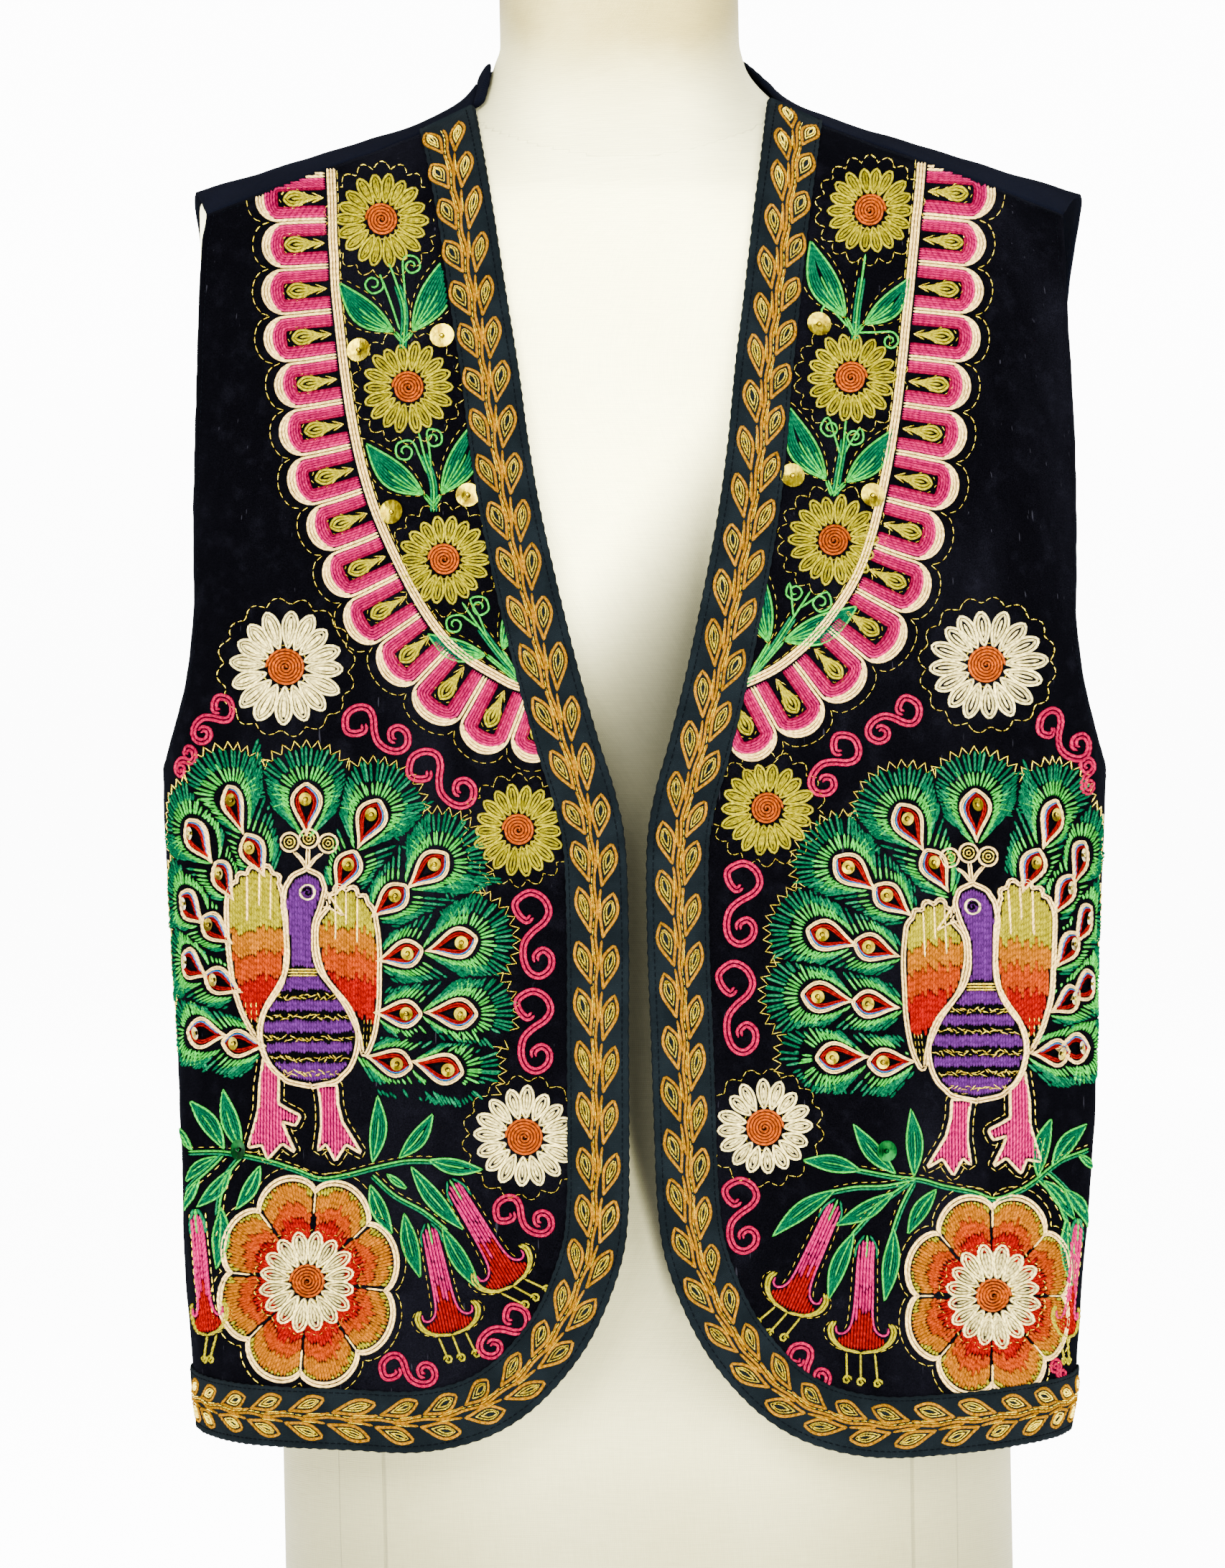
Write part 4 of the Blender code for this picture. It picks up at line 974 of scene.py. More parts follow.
def covered_form():
    """The dress form in its linen cover, with its seams stored as distances for the finish to draw."""
    shoulder, neck = HEM_HEIGHT + 0.470, HEM_HEIGHT + 0.625
    levels = [
        *np.linspace(0.0, shoulder, 100, endpoint=False),
        *np.linspace(shoulder, neck, 96, endpoint=False),
        *np.linspace(neck, FORM_TOP - NECK_TOP_ROUND, 16, endpoint=False),
        *(FORM_TOP - NECK_TOP_ROUND + NECK_TOP_ROUND * math.sin(k * math.pi / 16) for k in range(9)),
    ]
    limit = form_limit()
    rings = np.array([form_ring(z, limit) for z in levels])
    for _ in range(3):
        rings[1:-1] = rings[1:-1] * 0.5 + (rings[:-2] + rings[2:]) * 0.25
    z = rings[..., 2]
    x, y = rings[..., 0] - lean_at(z - HEM_HEIGHT), rings[..., 1] - TO_MIDDLE
    neck_seam = z - NECK_SEAM_FRONT - NECK_SEAM_RISE * smooth_step(y, -0.045, 0.040)
    neck_seam = neck_seam - 4.5 * np.minimum(np.abs(x), 0.062) ** 2 * smooth_step(-y, -0.030, 0.030)
    on_neck = np.hypot(x, y) < NECK_RADIUS + 0.012
    neck_seam = np.where(on_neck | (neck_seam > 0), neck_seam, -0.02)
    princess = np.abs(x) - np.where(y < 0, PRINCESS_FRONT, PRINCESS_BACK)
    princess = np.where(neck_seam < 0, princess + PRINCESS_TAPER * smooth_step(z, 0.20, 0.42), NO_SEAM)
    side_seam = np.where((neck_seam < 0) & (np.abs(x) > 0.06), y, NO_SEAM)
    seam = princess
    for other in (side_seam, np.where(y > 0, x, NO_SEAM), neck_seam):
        seam = np.where(np.abs(other) < np.abs(seam), other, seam)
    steps = np.linalg.norm(np.diff(rings, axis=1), axis=2)
    around = np.concatenate([np.zeros((len(levels), 1)), np.cumsum(steps, axis=1)], axis=1)
    number, sides = closed_rings(rings)
    mesh = new_mesh("linen_form", rings.reshape(-1, 3), [sides, number[:1, ::-1], number[-1:]])
    for word, values in (("seam", seam), ("neck", neck_seam), ("round_form", around)):
        layer = mesh.attributes.new(word, "FLOAT", "POINT")
        layer.data.foreach_set("value", values.astype(np.float32).ravel())
    mesh.set_sharp_from_angle(angle=math.radians(60))
    return add_piece("linen_form", mesh, linen_cover, "dress_form")


# ---- the pieces
SIDES = (("left", 1), ("right", -1))        # the wearer's
for word, side in SIDES:
    front = velvet_front(word, side)
    band = folded_ribbon(word, side)
back_cloth = twill_back()
neck_roll()
covered_form()


# ---- laying charts on the cloth
# A chart gives places as they look from straight in front, in millimetres: how far out from the middle
# and how far up from the hem. Round the side, where that would crowd them, it follows the cloth instead.
MM = 0.001
CHART_OUT, CHART_UP, CHART_STEP = (-10.0, 262.0), (-4.0, 602.0), 2.5
CLOTH_ACROSS, CLOTH_UP, LOOKUP_STEP = 0.304, 0.640, 0.002
MOST_CROWDED = 0.62         # millimetres seen for each millimetre of cloth
EYE_SIDE, EYE_HEIGHT, SEEN_FROM = -9.6, 282.3, 2900.0
EDGE_MARGIN = 0.0016


class Chart:
    """Where a place on the chart of one front lies, on the cloth and in the room."""

    def __init__(self, side):
        self.side = side
        across, up = (np.arange(0.0, reach + 0.0001, LOOKUP_STEP) for reach in (CLOTH_ACROSS, CLOTH_UP))
        a, t = np.meshgrid(across, up, indexing="ij")
        self.points, self.out = (part.reshape(*a.shape, 3) for part in cloth_frame(a, t, False, side))
        bare = bare_point(a.ravel(), t.ravel(), np.full(a.size, False), side).reshape(*a.shape, 3)
        distance = bare[..., 1] - CAMERA_FROM[1]
        seen = side * (EYE_SIDE + SEEN_FROM * (bare[..., 0] - CAMERA_FROM[0]) / distance)
        risen = EYE_HEIGHT + SEEN_FROM * (bare[..., 2] - CAMERA_FROM[2]) / distance
        least = LOOKUP_STEP / MM * MOST_CROWDED
        seen[1:] = seen[:1] + np.cumsum(np.maximum(np.diff(seen, axis=0), least), axis=0)
        risen[:, 1:] = risen[:, :1] + np.cumsum(np.maximum(np.diff(risen, axis=1), least * 0.8), axis=1)
        u, v = np.meshgrid(*(np.arange(*reach, CHART_STEP) for reach in (CHART_OUT, CHART_UP)), indexing="ij")
        a, t = u * MM, v * MM
        for _ in range(22):
            i, j = self.lookup_place(a, t)
            a = np.clip(a + (u - between(seen, i, j)) * MM * 0.9, 0.0, CLOTH_ACROSS - MM)
            t = np.clip(t + (v - between(risen, i, j)) * MM * 0.9, 0.0, CLOTH_UP - MM)
        self.cloth = np.stack([a, t], axis=-1)
        edge, _, _ = ribbon_lines(side, 420)
        apart = np.array([np.hypot(*(edge - place).T).min() for place in self.cloth.reshape(-1, 2)])
        self.from_edge = apart.reshape(a.shape)

    def lookup_place(self, a, t):
        return (np.clip(a / LOOKUP_STEP, 0, self.points.shape[0] - 1.001),
                np.clip(t / LOOKUP_STEP, 0, self.points.shape[1] - 1.001))

    def place(self, u, v):
        """Across and up the cloth, and which stitches still lie on bare velvet."""
        i, j = (np.clip((value - reach[0]) / CHART_STEP, 0, count - 1.001)
                for value, reach, count in zip((u, v), (CHART_OUT, CHART_UP), self.cloth.shape))
        cloth = between(self.cloth, i, j)
        side_seam = np.interp(cloth[:, 1], SEAM_LEVELS, SEAM_ACROSS)
        kept = (cloth[:, 0] < side_seam - 0.0018) & (cloth[:, 1] < seam_up(cloth[:, 0]) - 0.0012)
        return cloth, kept & (between(self.from_edge, i, j) > BAND_WIDTH - EDGE_MARGIN)

    def room(self, cloth, height):
        i, j = self.lookup_place(cloth[:, 0], cloth[:, 1])
        out = between(self.out, i, j)
        out /= np.linalg.norm(out, axis=1)[:, None]
        return between(self.points, i, j) + out * (height * MM)[:, None], out


class ClothChart:
    """For lines that follow the cut of the cloth: millimetres across and up it."""

    def __init__(self, chart):
        self.chart, self.side, self.room = chart, chart.side, chart.room

    def place(self, u, v):
        return np.stack([u, v], axis=1) * MM, np.full(len(u), True)


class BandChart(ClothChart):
    """For the ribbon: millimetres along it from the shoulder, and in from its folded edge."""

    def __init__(self, chart):
        super().__init__(chart)
        self.edge, self.inward, _ = ribbon_lines(chart.side, 900)
        self.length = line_length(self.edge) / MM
        self.along = np.linspace(0.0, self.length, 900)

    def place(self, u, v):
        start, inward = (np.stack([np.interp(u, self.along, line[:, k]) for k in range(2)], axis=1)
                         for line in (self.edge, self.inward))
        return start + inward * (v * MM)[:, None], (u > 0.8) & (u < self.length - 0.8)


SEAM_LEVELS = np.linspace(0.0, 0.300, 61)
SEAM_ACROSS = side_length(SEAM_LEVELS, np.full(61, False))


# ---- stitches
STITCH = 2.5                # millimetres of each chain stitch
PITCH = 1.3                 # from one row to the next in filled shapes
YARN = 1.55                 # width of a row of wool chain stitch
SAMPLE = 1.3                # millimetres from one cross-section of a row to the next
SUNK = 0.12                 # how deep a row's lower corners lie in the cloth


class Needlework:
    """Rows of stitches of one kind, gathered on their chart and laid on the cloth together."""

    def __init__(self, chart, ground=0.0):
        self.chart, self.ground = chart, ground
        self.lines, self.colours, self.sizes = [], [], []

    def row(self, line, colour, width=YARN, rise=0.85, lift=0.0, stitch=STITCH):
        """One row along a line of chart places."""
        line = np.asarray(line, float)
        length = line_length(line)
        if length < 0.6:
            return
        self.lines.append(even_line(line, max(int(round(length / SAMPLE)), 2) + 1))
        self.colours.append(colour)
        self.sizes.append((width, rise, lift, stitch, length))

    def dashes(self, line, dash=3.0, gap=1.5, width=0.55, rise=0.45, colour=GOLDEN):
        """Separate long stitches along a line."""
        line = np.asarray(line, float)
        length = line_length(line)
        count = max(int(length / (dash + gap)), 1)
        fine = even_line(line, max(int(length / 0.5), 4))
        share = (len(fine) - 1) / length
        for k in range(count):
            start = k * length / count
            first, last = int(start * share), int((start + dash) * share) + 1
            if last - first > 1:
                self.row(fine[first:last], colour, width, rise, stitch=dash)

    def sew(self, name, finish, slot):
        """Makes the piece: each row is a closed three-sided cord, swelling with each stitch."""
        counts = np.array([len(line) for line in self.lines])
        row = np.repeat(np.arange(len(counts)), counts)
        line = np.concatenate(self.lines)
        first = np.concatenate([[0], np.cumsum(counts)[:-1]])
        index, last = np.arange(len(line)) - first[row], counts[row] - 1
        width, rise, lift, stitch, length = np.array(self.sizes)[row].T
        beat = length * index / last / stitch
        ahead = line[np.minimum(np.arange(len(line)) + 1, first[row] + last)]
        along = ahead - line[np.maximum(np.arange(len(line)) - 1, first[row])]
        along /= np.maximum(np.hypot(*along.T), 1e-9)[:, None]
        beside = np.stack([-along[:, 1], along[:, 0]], axis=1)
        swell = 0.5 - 0.5 * np.cos(2 * math.pi * beat)
        end = np.where((index == 0) | (index == last), 0.45, 1.0)
        half = width / 2 * (0.86 + 0.14 * swell) * end
        uneven = chance.normal(0.0, 0.035, len(self.lines))[row]
        crest = self.ground + lift + rise * (0.72 + 0.28 * swell + uneven) * (0.55 + 0.45 * end)
        low = np.full(len(line), self.ground - SUNK)
        _, kept = self.chart.place(*line.T)
        rings = []
        for shift, height in ((-1.0, low), (0.0, crest), (1.0, low)):
            flat = line + beside * (half * shift)[:, None]
            rings.append(self.chart.room(self.chart.place(*flat.T)[0], height)[0])
        joined = np.flatnonzero((row[:-1] == row[1:]) & kept[:-1] & kept[1:])
        starts = joined[~np.isin(joined - 1, joined)]
        ends = joined[~np.isin(joined + 1, joined)] + 1
        quads = np.concatenate([
            np.stack([3 * joined + a, 3 * joined + b, 3 * joined + 3 + b, 3 * joined + 3 + a], axis=1)
            for a, b in ((0, 1), (1, 2), (2, 0))
        ])
        caps = np.concatenate([np.stack([3 * starts + 2, 3 * starts + 1, 3 * starts], axis=1),
                               np.stack([3 * ends, 3 * ends + 1, 3 * ends + 2], axis=1)])
        if self.chart.side > 0:
            quads, caps = quads[:, ::-1], caps[:, ::-1]
        shade = 1.0 + 0.07 * chance.normal(size=len(self.lines))[row]
        shade *= 1.0 + 0.05 * chance.normal(size=len(line))
        colour = np.array(self.colours)[row] * np.clip(shade, 0.75, 1.3)[:, None]
        colour = np.repeat(np.concatenate([colour, np.ones((len(line), 1))], axis=1), 3, axis=0)
        stitches = np.stack([np.repeat(beat, 3), np.tile([0.0, 0.5, 1.0], len(line))], axis=1)
        used, corners = np.unique(np.concatenate([quads.ravel(), caps.ravel()]), return_inverse=True)
        corners = [corners[: quads.size].reshape(-1, 4), corners[quads.size :].reshape(-1, 3)]
        points = np.stack(rings, axis=1).reshape(-1, 3)
        mesh = new_mesh(name, points[used], corners, stitches[used], "stitch")
        paint = mesh.color_attributes.new("yarn", "FLOAT_COLOR", "POINT")
        paint.data.foreach_set("color", colour[used].astype(np.float32).ravel())
        add_piece(name, mesh, finish)


# ---- drawing on a chart
def at(line, origin, degrees=0.0):
    """A line drawn about zero, turned by so many degrees and moved to its place."""
    turn = math.radians(degrees)
    line = np.asarray(line, float)
    x = line[:, 0] * math.cos(turn) - line[:, 1] * math.sin(turn)
    y = line[:, 0] * math.sin(turn) + line[:, 1] * math.cos(turn)
    return np.stack([x + origin[0], y + origin[1]], axis=1)


def heading(start, end):
    """Both ends as arrays, the way from one to the other, its length and its turn in degrees."""
    start, end = np.array(start, float), np.array(end, float)
    reach = end - start
    return start, end, reach, math.hypot(*reach), math.degrees(math.atan2(*reach[::-1]))


def drop(length, width, fullest=0.5, inset=0.0, blunt=0.75, start=0.0):
    """A closed loop from its root along x: widest at `fullest`, drawn `inset` inside its outline."""
    power = math.log(0.5) / math.log(fullest)
    share = 0.5 - 0.5 * np.cos(np.linspace(0.0, math.pi, 15))
    x = inset * 1.3 + share * max(length - inset * 2.2, 0.3)
    y = max(width / 2 - inset, 0.05) * np.sin(math.pi * share**power) ** blunt
    loop = np.concatenate([np.stack([x, y], axis=1), np.stack([x, -y], axis=1)[-2::-1]])
    return loop + (start, 0.0)


def filled_drop(work, origin, degrees, length, width, colours, fullest, blunt, start, yarn, pitch, lift=0.0):
    """Loops nested in one another from the outline in; the last colour fills what is left."""
    inset, k = yarn / 2, 0
    while width / 2 - inset > yarn * 0.22:
        loop = drop(length, width, fullest, inset, blunt, start)
        work.row(at(loop, origin, degrees), colours[min(k, len(colours) - 1)], yarn, lift=lift)
        inset, k = inset + pitch, k + 1
    left = width / 2 - inset + pitch
    if left > yarn * 0.55 and len(colours) <= k + 1:
        spine = [(start + inset * 1.5, 0.0), (start + length - inset * 1.2, 0.0)]
        work.row(at(spine, origin, degrees), colours[-1], yarn, lift=lift)


def disc(work, centre, radius, colour, yarn=YARN, pitch=PITCH, lift=0.0):
    """A disc filled by one row that winds in to its centre."""
    turns = (radius - yarn / 2) / pitch
    t = np.linspace(0.0, 1.0, max(int(turns * 16), 8))
    r, angle = (radius - yarn / 2) * (1 - t), 2 * math.pi * turns * t
    winding = np.stack([centre[0] + r * np.cos(angle), centre[1] + r * np.sin(angle)], axis=1)
    work.row(winding, colour, yarn, lift=lift)


def ring_line(centre, radius, waves=0, depth=0.0, turn=0.0, count=90):
    """A circle, or a scalloped one with so many lobes."""
    t = np.linspace(0.0, 2 * math.pi, count + 1)
    lobes = np.abs(np.sin((t - turn) * waves / 2)) if waves else 0.0
    r = radius + depth * (lobes - 0.6)
    return np.stack([centre[0] + r * np.cos(t), centre[1] + r * np.sin(t)], axis=1)


def crossings(ring, level):
    """Where a closed line crosses a level, from left to right."""
    a, b = ring[:-1], ring[1:]
    crossing = (a[:, 1] <= level) != (b[:, 1] <= level)
    a, b = a[crossing], b[crossing]
    return np.sort(a[:, 0] + (level - a[:, 1]) / (b[:, 1] - a[:, 1]) * (b[:, 0] - a[:, 0]))


def hatch(work, outline, degrees, colour_at, pitch=PITCH, yarn=YARN, inset=0.5, ragged=0.6, rise=0.85):
    """Fills an outline with parallel rows; `colour_at` names the colour of each place, or None to skip."""
    flat = at(outline, (0.0, 0.0), -degrees)
    if not np.allclose(flat[0], flat[-1]):
        flat = np.vstack([flat, flat[:1]])
    for y in np.arange(flat[:, 1].min() + pitch * 0.5, flat[:, 1].max(), pitch):
        xs = crossings(flat, y)
        for x0, x1 in zip(xs[::2] + inset, xs[1::2] - inset):
            if x1 - x0 < 0.8:
                continue
            count = max(int(x1 - x0), 1) + 1
            line = at(np.stack([np.linspace(x0, x1, count), np.full(count, y)], axis=1), (0.0, 0.0), degrees)
            wander = chance.normal(0.0, ragged)
            names = [colour_at(place, wander) for place in line]
            begin = 0
            for k in range(1, count + 1):
                if k == count or names[k] is not names[begin]:
                    if names[begin] is not None and k - begin > 1:
                        work.row(line[begin : min(k + 1, count)], names[begin], yarn, rise)
                    begin = k


# ---- sequins and topstitching
SEQUIN_SIDES = 18
# A sequin's section from its hole out and back, as shares of its radius, with heights in mm.
SEQUIN_SECTION = (
    (0.16, 0.20), (0.55, 0.34), (0.60, 0.46), (1.00, 0.62), (1.00, 0.74), (0.58, 0.60), (0.16, 0.34),
)
BEAD_SECTION = ((0.0, 0.30), (0.62, 0.50), (0.86, 0.95), (0.60, 1.40), (0.0, 1.58))
BEAD_RADIUS = 1.1


def sequins(name, chart, places, finish):
    """Stamped discs held down by a bead each: (u, v, radius, height over the cloth) in mm."""
    turn = np.linspace(0.0, 2 * math.pi, SEQUIN_SIDES, endpoint=False)
    points, faces, count = [], [], 0
    for u, v, radius, lift in places:
        cloth, _ = chart.place(np.array([float(u)]), np.array([float(v)]))
        middle, out = (part[0] for part in chart.room(cloth, np.array([0.0])))
        tilt = chance.normal(0.0, 0.10, 2)
        out = out + (tilt[0], 0.0, tilt[1])
        out /= np.linalg.norm(out)
        across = np.cross((0.0, 0.0, 1.0), out)
        across /= np.linalg.norm(across)
        ring = across * np.cos(turn)[:, None] + np.cross(out, across) * np.sin(turn)[:, None]
        for section, size in ((SEQUIN_SECTION, radius), (BEAD_SECTION, BEAD_RADIUS)):
            points += [middle + ring * share * size * MM + out * (high + lift) * MM
                       for share, high in section]
            number = count + np.arange(len(section) * SEQUIN_SIDES).reshape(-1, SEQUIN_SIDES)
            count += number.size
            if section is SEQUIN_SECTION:
                number = np.vstack([number, number[:1]])
            faces.append(cells(np.hstack([number, number[:, :1]])))
    mesh = new_mesh(name, np.concatenate(points), faces)
    face_outwards(mesh, doubles=0.00002)
    mesh.set_sharp_from_angle(angle=math.radians(35))
    add_piece(name, mesh, finish)


def topstitch(word, chart, band):
    """Lockstitch along both edges of the ribbon, the armhole and the shoulder seam."""
    along = np.linspace(2.0, band.length - 2.0, 500)
    ribbon_width = band_width_at(along / band.length) / MM
    lines = Needlework(band, RIBBON_TOP / MM)
    for beside in (np.full(500, 2.5), ribbon_width - 1.6):
        lines.dashes(np.stack([along, beside], axis=1), 2.0, 0.9, 0.42, 0.22, THREAD)
    lines.sew(f"ribbon_stitching_{word}", sewing_thread, "ribbon")
    edge = front_armhole(chart.side, 160)
    beside = left_normals(edge)
    towards = 1.0 if beside[80, 0] < 0 else -1.0
    seam = np.linspace(NECKLINE_RADIUS + 0.016, front_tip()[0] - 0.006, 60)
    seam_line = np.stack([seam, seam_up(seam) - 0.0030], axis=1)
    lines = Needlework(ClothChart(chart))
    for line in (edge + beside * towards * 0.0036, seam_line):
        lines.dashes(line / MM, 2.2, 0.9, 0.42, 0.22, THREAD)
    lines.sew(f"edge_stitching_{word}", sewing_thread, "velvet")


# ---- flowers and scallops
def varied(colour, low, high):
    """A yarn's colour, lighter or darker by chance."""
    return tuple(np.array(colour) * chance.uniform(low, high))


def flower(wool, gold, centre, radius, heart, petals, colour, plump, turn=0.0):
    """Petals of nested loops round a wound disc, in a dashed and scalloped gold line."""
    width = 2 * math.pi * radius * 0.86 / petals * plump
    start = heart * 0.80
    for k in range(petals):
        degrees = turn + 360.0 * (k + chance.uniform(-0.10, 0.10)) / petals
        reach = radius * chance.uniform(0.95, 1.04)
        # The second loop in each petal is its yarn made darker: painted shade between the petal's strands.
        tone, dim = varied(colour, 0.88, 1.10), varied(colour, 0.62, 0.82)
        colours = [tone, dim, tone]
        filled_drop(wool, centre, degrees, reach - start, width, colours, 0.62, 0.60, start, 1.45, 1.42)
    disc(wool, centre, heart, ORANGE, lift=0.3)
    gold.dashes(ring_line(centre, heart + 0.6), 1.2, 1.4, 0.6, 0.9)
    gold.dashes(ring_line(centre, radius + 3.2, petals, 3.4, math.radians(turn)), 2.6, 0.8, 0.6)


SCALLOP_REACH = 30.0
# Rows of one scallop: how far in at its sides and at its arch, which part of the arch, and the colour.
SCALLOP_ROWS = (
    (0.65, 0.65, 1.00, CREAM), (1.30, 1.95, 0.42, CREAM), (1.60, 3.25, 0.30, CREAM),
    (1.90, 4.35, 1.00, LIGHT_PINK), (2.90, 5.50, 1.00, HOT_PINK), (3.90, 6.65, 1.00, HOT_PINK),
    (4.90, 7.80, 1.00, HOT_PINK), (5.75, 8.90, 1.00, CRIMSON),
)
SCALLOP_FEET = (1.5, 6.0, 12.0)
SCALLOP_DROP = (0.74, 0.0, 0.85)


def scallops(wool, gold, inner_line, first, count):
    """A row of nested arches along a line, each round a drop, with the cream line they spring from."""
    line = even_curve(inner_line, 400)
    total = line_length(line)
    half = total / count / 2
    normal = -left_normals(line)
    if normal[0, 0] < 0:
        normal = -normal
    padded, evenly = np.pad(normal, ((40, 40), (0, 0)), "edge"), np.ones(81) / 81
    smooth = np.stack([np.convolve(padded[:, k], evenly, "valid") for k in (0, 1)], 1)
    smooth /= np.hypot(*smooth.T)[:, None]
    numbers, step = np.arange(len(line)), (line[-1] - line[-6]) / line_length(line[-6:])

    def spot(share, reach):
        place = np.clip(share, -0.2, 1.2) * (len(line) - 1)
        base, away = (np.stack([np.interp(place, numbers, values[:, k]) for k in (0, 1)], 1)
                      for values in (line, smooth))
        over = (np.maximum(place - len(line) + 1, 0) + np.minimum(place, 0)) / (len(line) - 1) * total
        return base + over[:, None] * step + away * reach[:, None]

    turns, across = np.linspace(0.0, math.pi, 17), np.linspace(-1, 1, 17)
    outer = []
    for k in range(count + 1):
        middle = (k + first) / count
        reach = SCALLOP_REACH + 1.2 * math.sin(2.1 * k)
        for side_inset, top_inset, part, colour in SCALLOP_ROWS:
            whole = part == 1.0
            angles = turns if whole else np.linspace(math.pi * (0.5 - part), math.pi * (0.5 + part), 13)
            x = -(half - side_inset) * np.cos(angles)
            y = reach - half + (half - top_inset) * np.sin(angles)
            if whole:
                x = np.concatenate([[x[0]] * 3, x, [x[-1]] * 3])
                y = np.concatenate([SCALLOP_FEET, y, SCALLOP_FEET[::-1]])
            wool.row(spot(middle + x / total, y), colour)
        dip = 7.0 * (1 - np.sqrt(np.clip(1 - across**2, 0.0, 1.0)))
        outer.append(spot(middle + np.linspace(-half, half, 17) / total, reach + 3.6 - dip))
        root, tip = (spot(np.array([middle]), np.array([high]))[0] for high in (2.6, 19.0))
        degrees = heading(root, tip)[-1]
        filled_drop(wool, root, degrees, 17.2, 7.4, [OLIVE], 0.74, 0.85, 0.0, 1.5, 1.35)
        gold.dashes(at(drop(18.4, 8.8, *SCALLOP_DROP), root, degrees), 1.6, 1.8, 0.6, 0.7)
        for lean in (-0.42, 0.42):
            turned = math.radians(degrees) + lean
            gold.row([root, root + 5.0 * np.array([math.cos(turned), math.sin(turned)])], GOLDEN, 0.7, 0.7)
    for line_part in outer:
        gold.dashes(line_part, 2.8, 1.0)
    for shift in (-2.4, -1.1, 0.2):
        wool.row(line + smooth * shift, CREAM, lift=0.3)
    gold.dashes(line - smooth * 3.6, 3.4, 1.2)


# ---- scrolls
# One S-shaped scroll as it is drawn, with the middles of its two curls.
SCROLL = np.array([
    (7.8, 25.6), (5.3, 23.6), (1.6, 27.0), (0.8, 31.6), (6.4, 35.6), (12.2, 33.4), (14.9, 28.2), (13.0, 23.4),
    (7.9, 19.0), (4.6, 14.2), (4.4, 7.6), (7.0, 2.2), (11.6, 0.6), (15.8, 4.0), (16.0, 9.0), (12.6, 11.6),
    (9.4, 9.2), (9.8, 6.6),
])
SCROLL_CURLS = np.array([(7.1, 29.2), (12.2, 6.2)])


def scroll(wool, side, first, second):
    """A scroll in two rows of pink, its curls at the places given."""
    drawn, curls = SCROLL * (side, 1), SCROLL_CURLS * (side, 1)
    want, have = np.subtract(second, first), curls[1] - curls[0]
    turn = math.degrees(math.atan2(want[1], want[0]) - math.atan2(have[1], have[0]))
    scale = math.hypot(*want) / math.hypot(*have)
    shape = even_curve(drawn - curls.mean(axis=0), 120)
    axis = have / math.hypot(*have)
    size = min(scale * 1.12, 1.0)
    shape = shape * size + np.outer(shape @ axis * (scale - size), axis)
    line = at(shape, np.add(first, second) / 2, turn)
    for shift in (-0.85, 0.85):
        wool.row(line + left_normals(line) * shift, SCROLL_PINK, 1.9, 1.1)


# ---- leaves
def stem(wool, knots, rows):
    line = even_curve(knots, 60)
    for k in range(rows):
        wool.row(line + left_normals(line) * (k - (rows - 1) / 2), LIGHT_GREEN, 1.25, 0.8, lift=0.1)
    return line


def tendril(wool, start, over, curl, turns):
    """A stem that ends in a small spiral round `curl`."""
    radius = math.hypot(over[0] - curl[0], over[1] - curl[1])
    t = np.linspace(0.0, 1.0, 22)
    spin = math.atan2(over[1] - curl[1], over[0] - curl[0]) + turns * 2 * math.pi * t
    spiral = np.stack([curl[0] + radius * (1 - 0.75 * t) * np.cos(spin),
                       curl[1] + radius * (1 - 0.75 * t) * np.sin(spin)], axis=1)
    lead = np.array([start, ((start[0] + over[0]) / 2, start[1] * 0.45 + over[1] * 0.55)])
    wool.row(even_curve(np.vstack([lead, spiral[::3]]), 60), LIGHT_GREEN, 1.2, 0.8, stitch=2.0)


# A leaf's kind: width as a share of its length and at most, where it is fullest and how blunt, how far in
# its outline lies, where the dark rows begin, their pitch and what they leave, the yarn and both heights.
BROAD = (0.36, 99.0, 0.46, 1.05, 0.6, 1.75, 1.15, 0.3, 1.35, 0.85, 0.75)
SLIM = (0.30, 7.6, 0.48, 1.1, 0.5, 1.45, 1.05, 0.2, 1.2, 0.8, 0.7)


def leaf(wool, kind, root, tip, bend):
    """A leaf, dark inside a light outline. Gives its length, its width and how a line bends with it."""
    share, most, fullest, blunt, rim, first, pitch, left, yarn, rise, low = kind
    root, _, _, length, degrees = heading(root, tip)
    width = min(length * share, most)

    def bent(loop):
        loop = np.array(loop, float)
        loop[:, 1] += bend * np.sin(math.pi * np.clip(loop[:, 0] / length, 0.0, 1.0))
        return at(loop, root, degrees)

    wool.row(bent(drop(length, width, fullest, rim, blunt)), LIGHT_GREEN, yarn, rise)
    for inset in np.arange(first, width / 2 - left, pitch):
        wool.row(bent(drop(length, width, fullest, inset, blunt)), DARK_GREEN, yarn, low)
    return length, width, bent


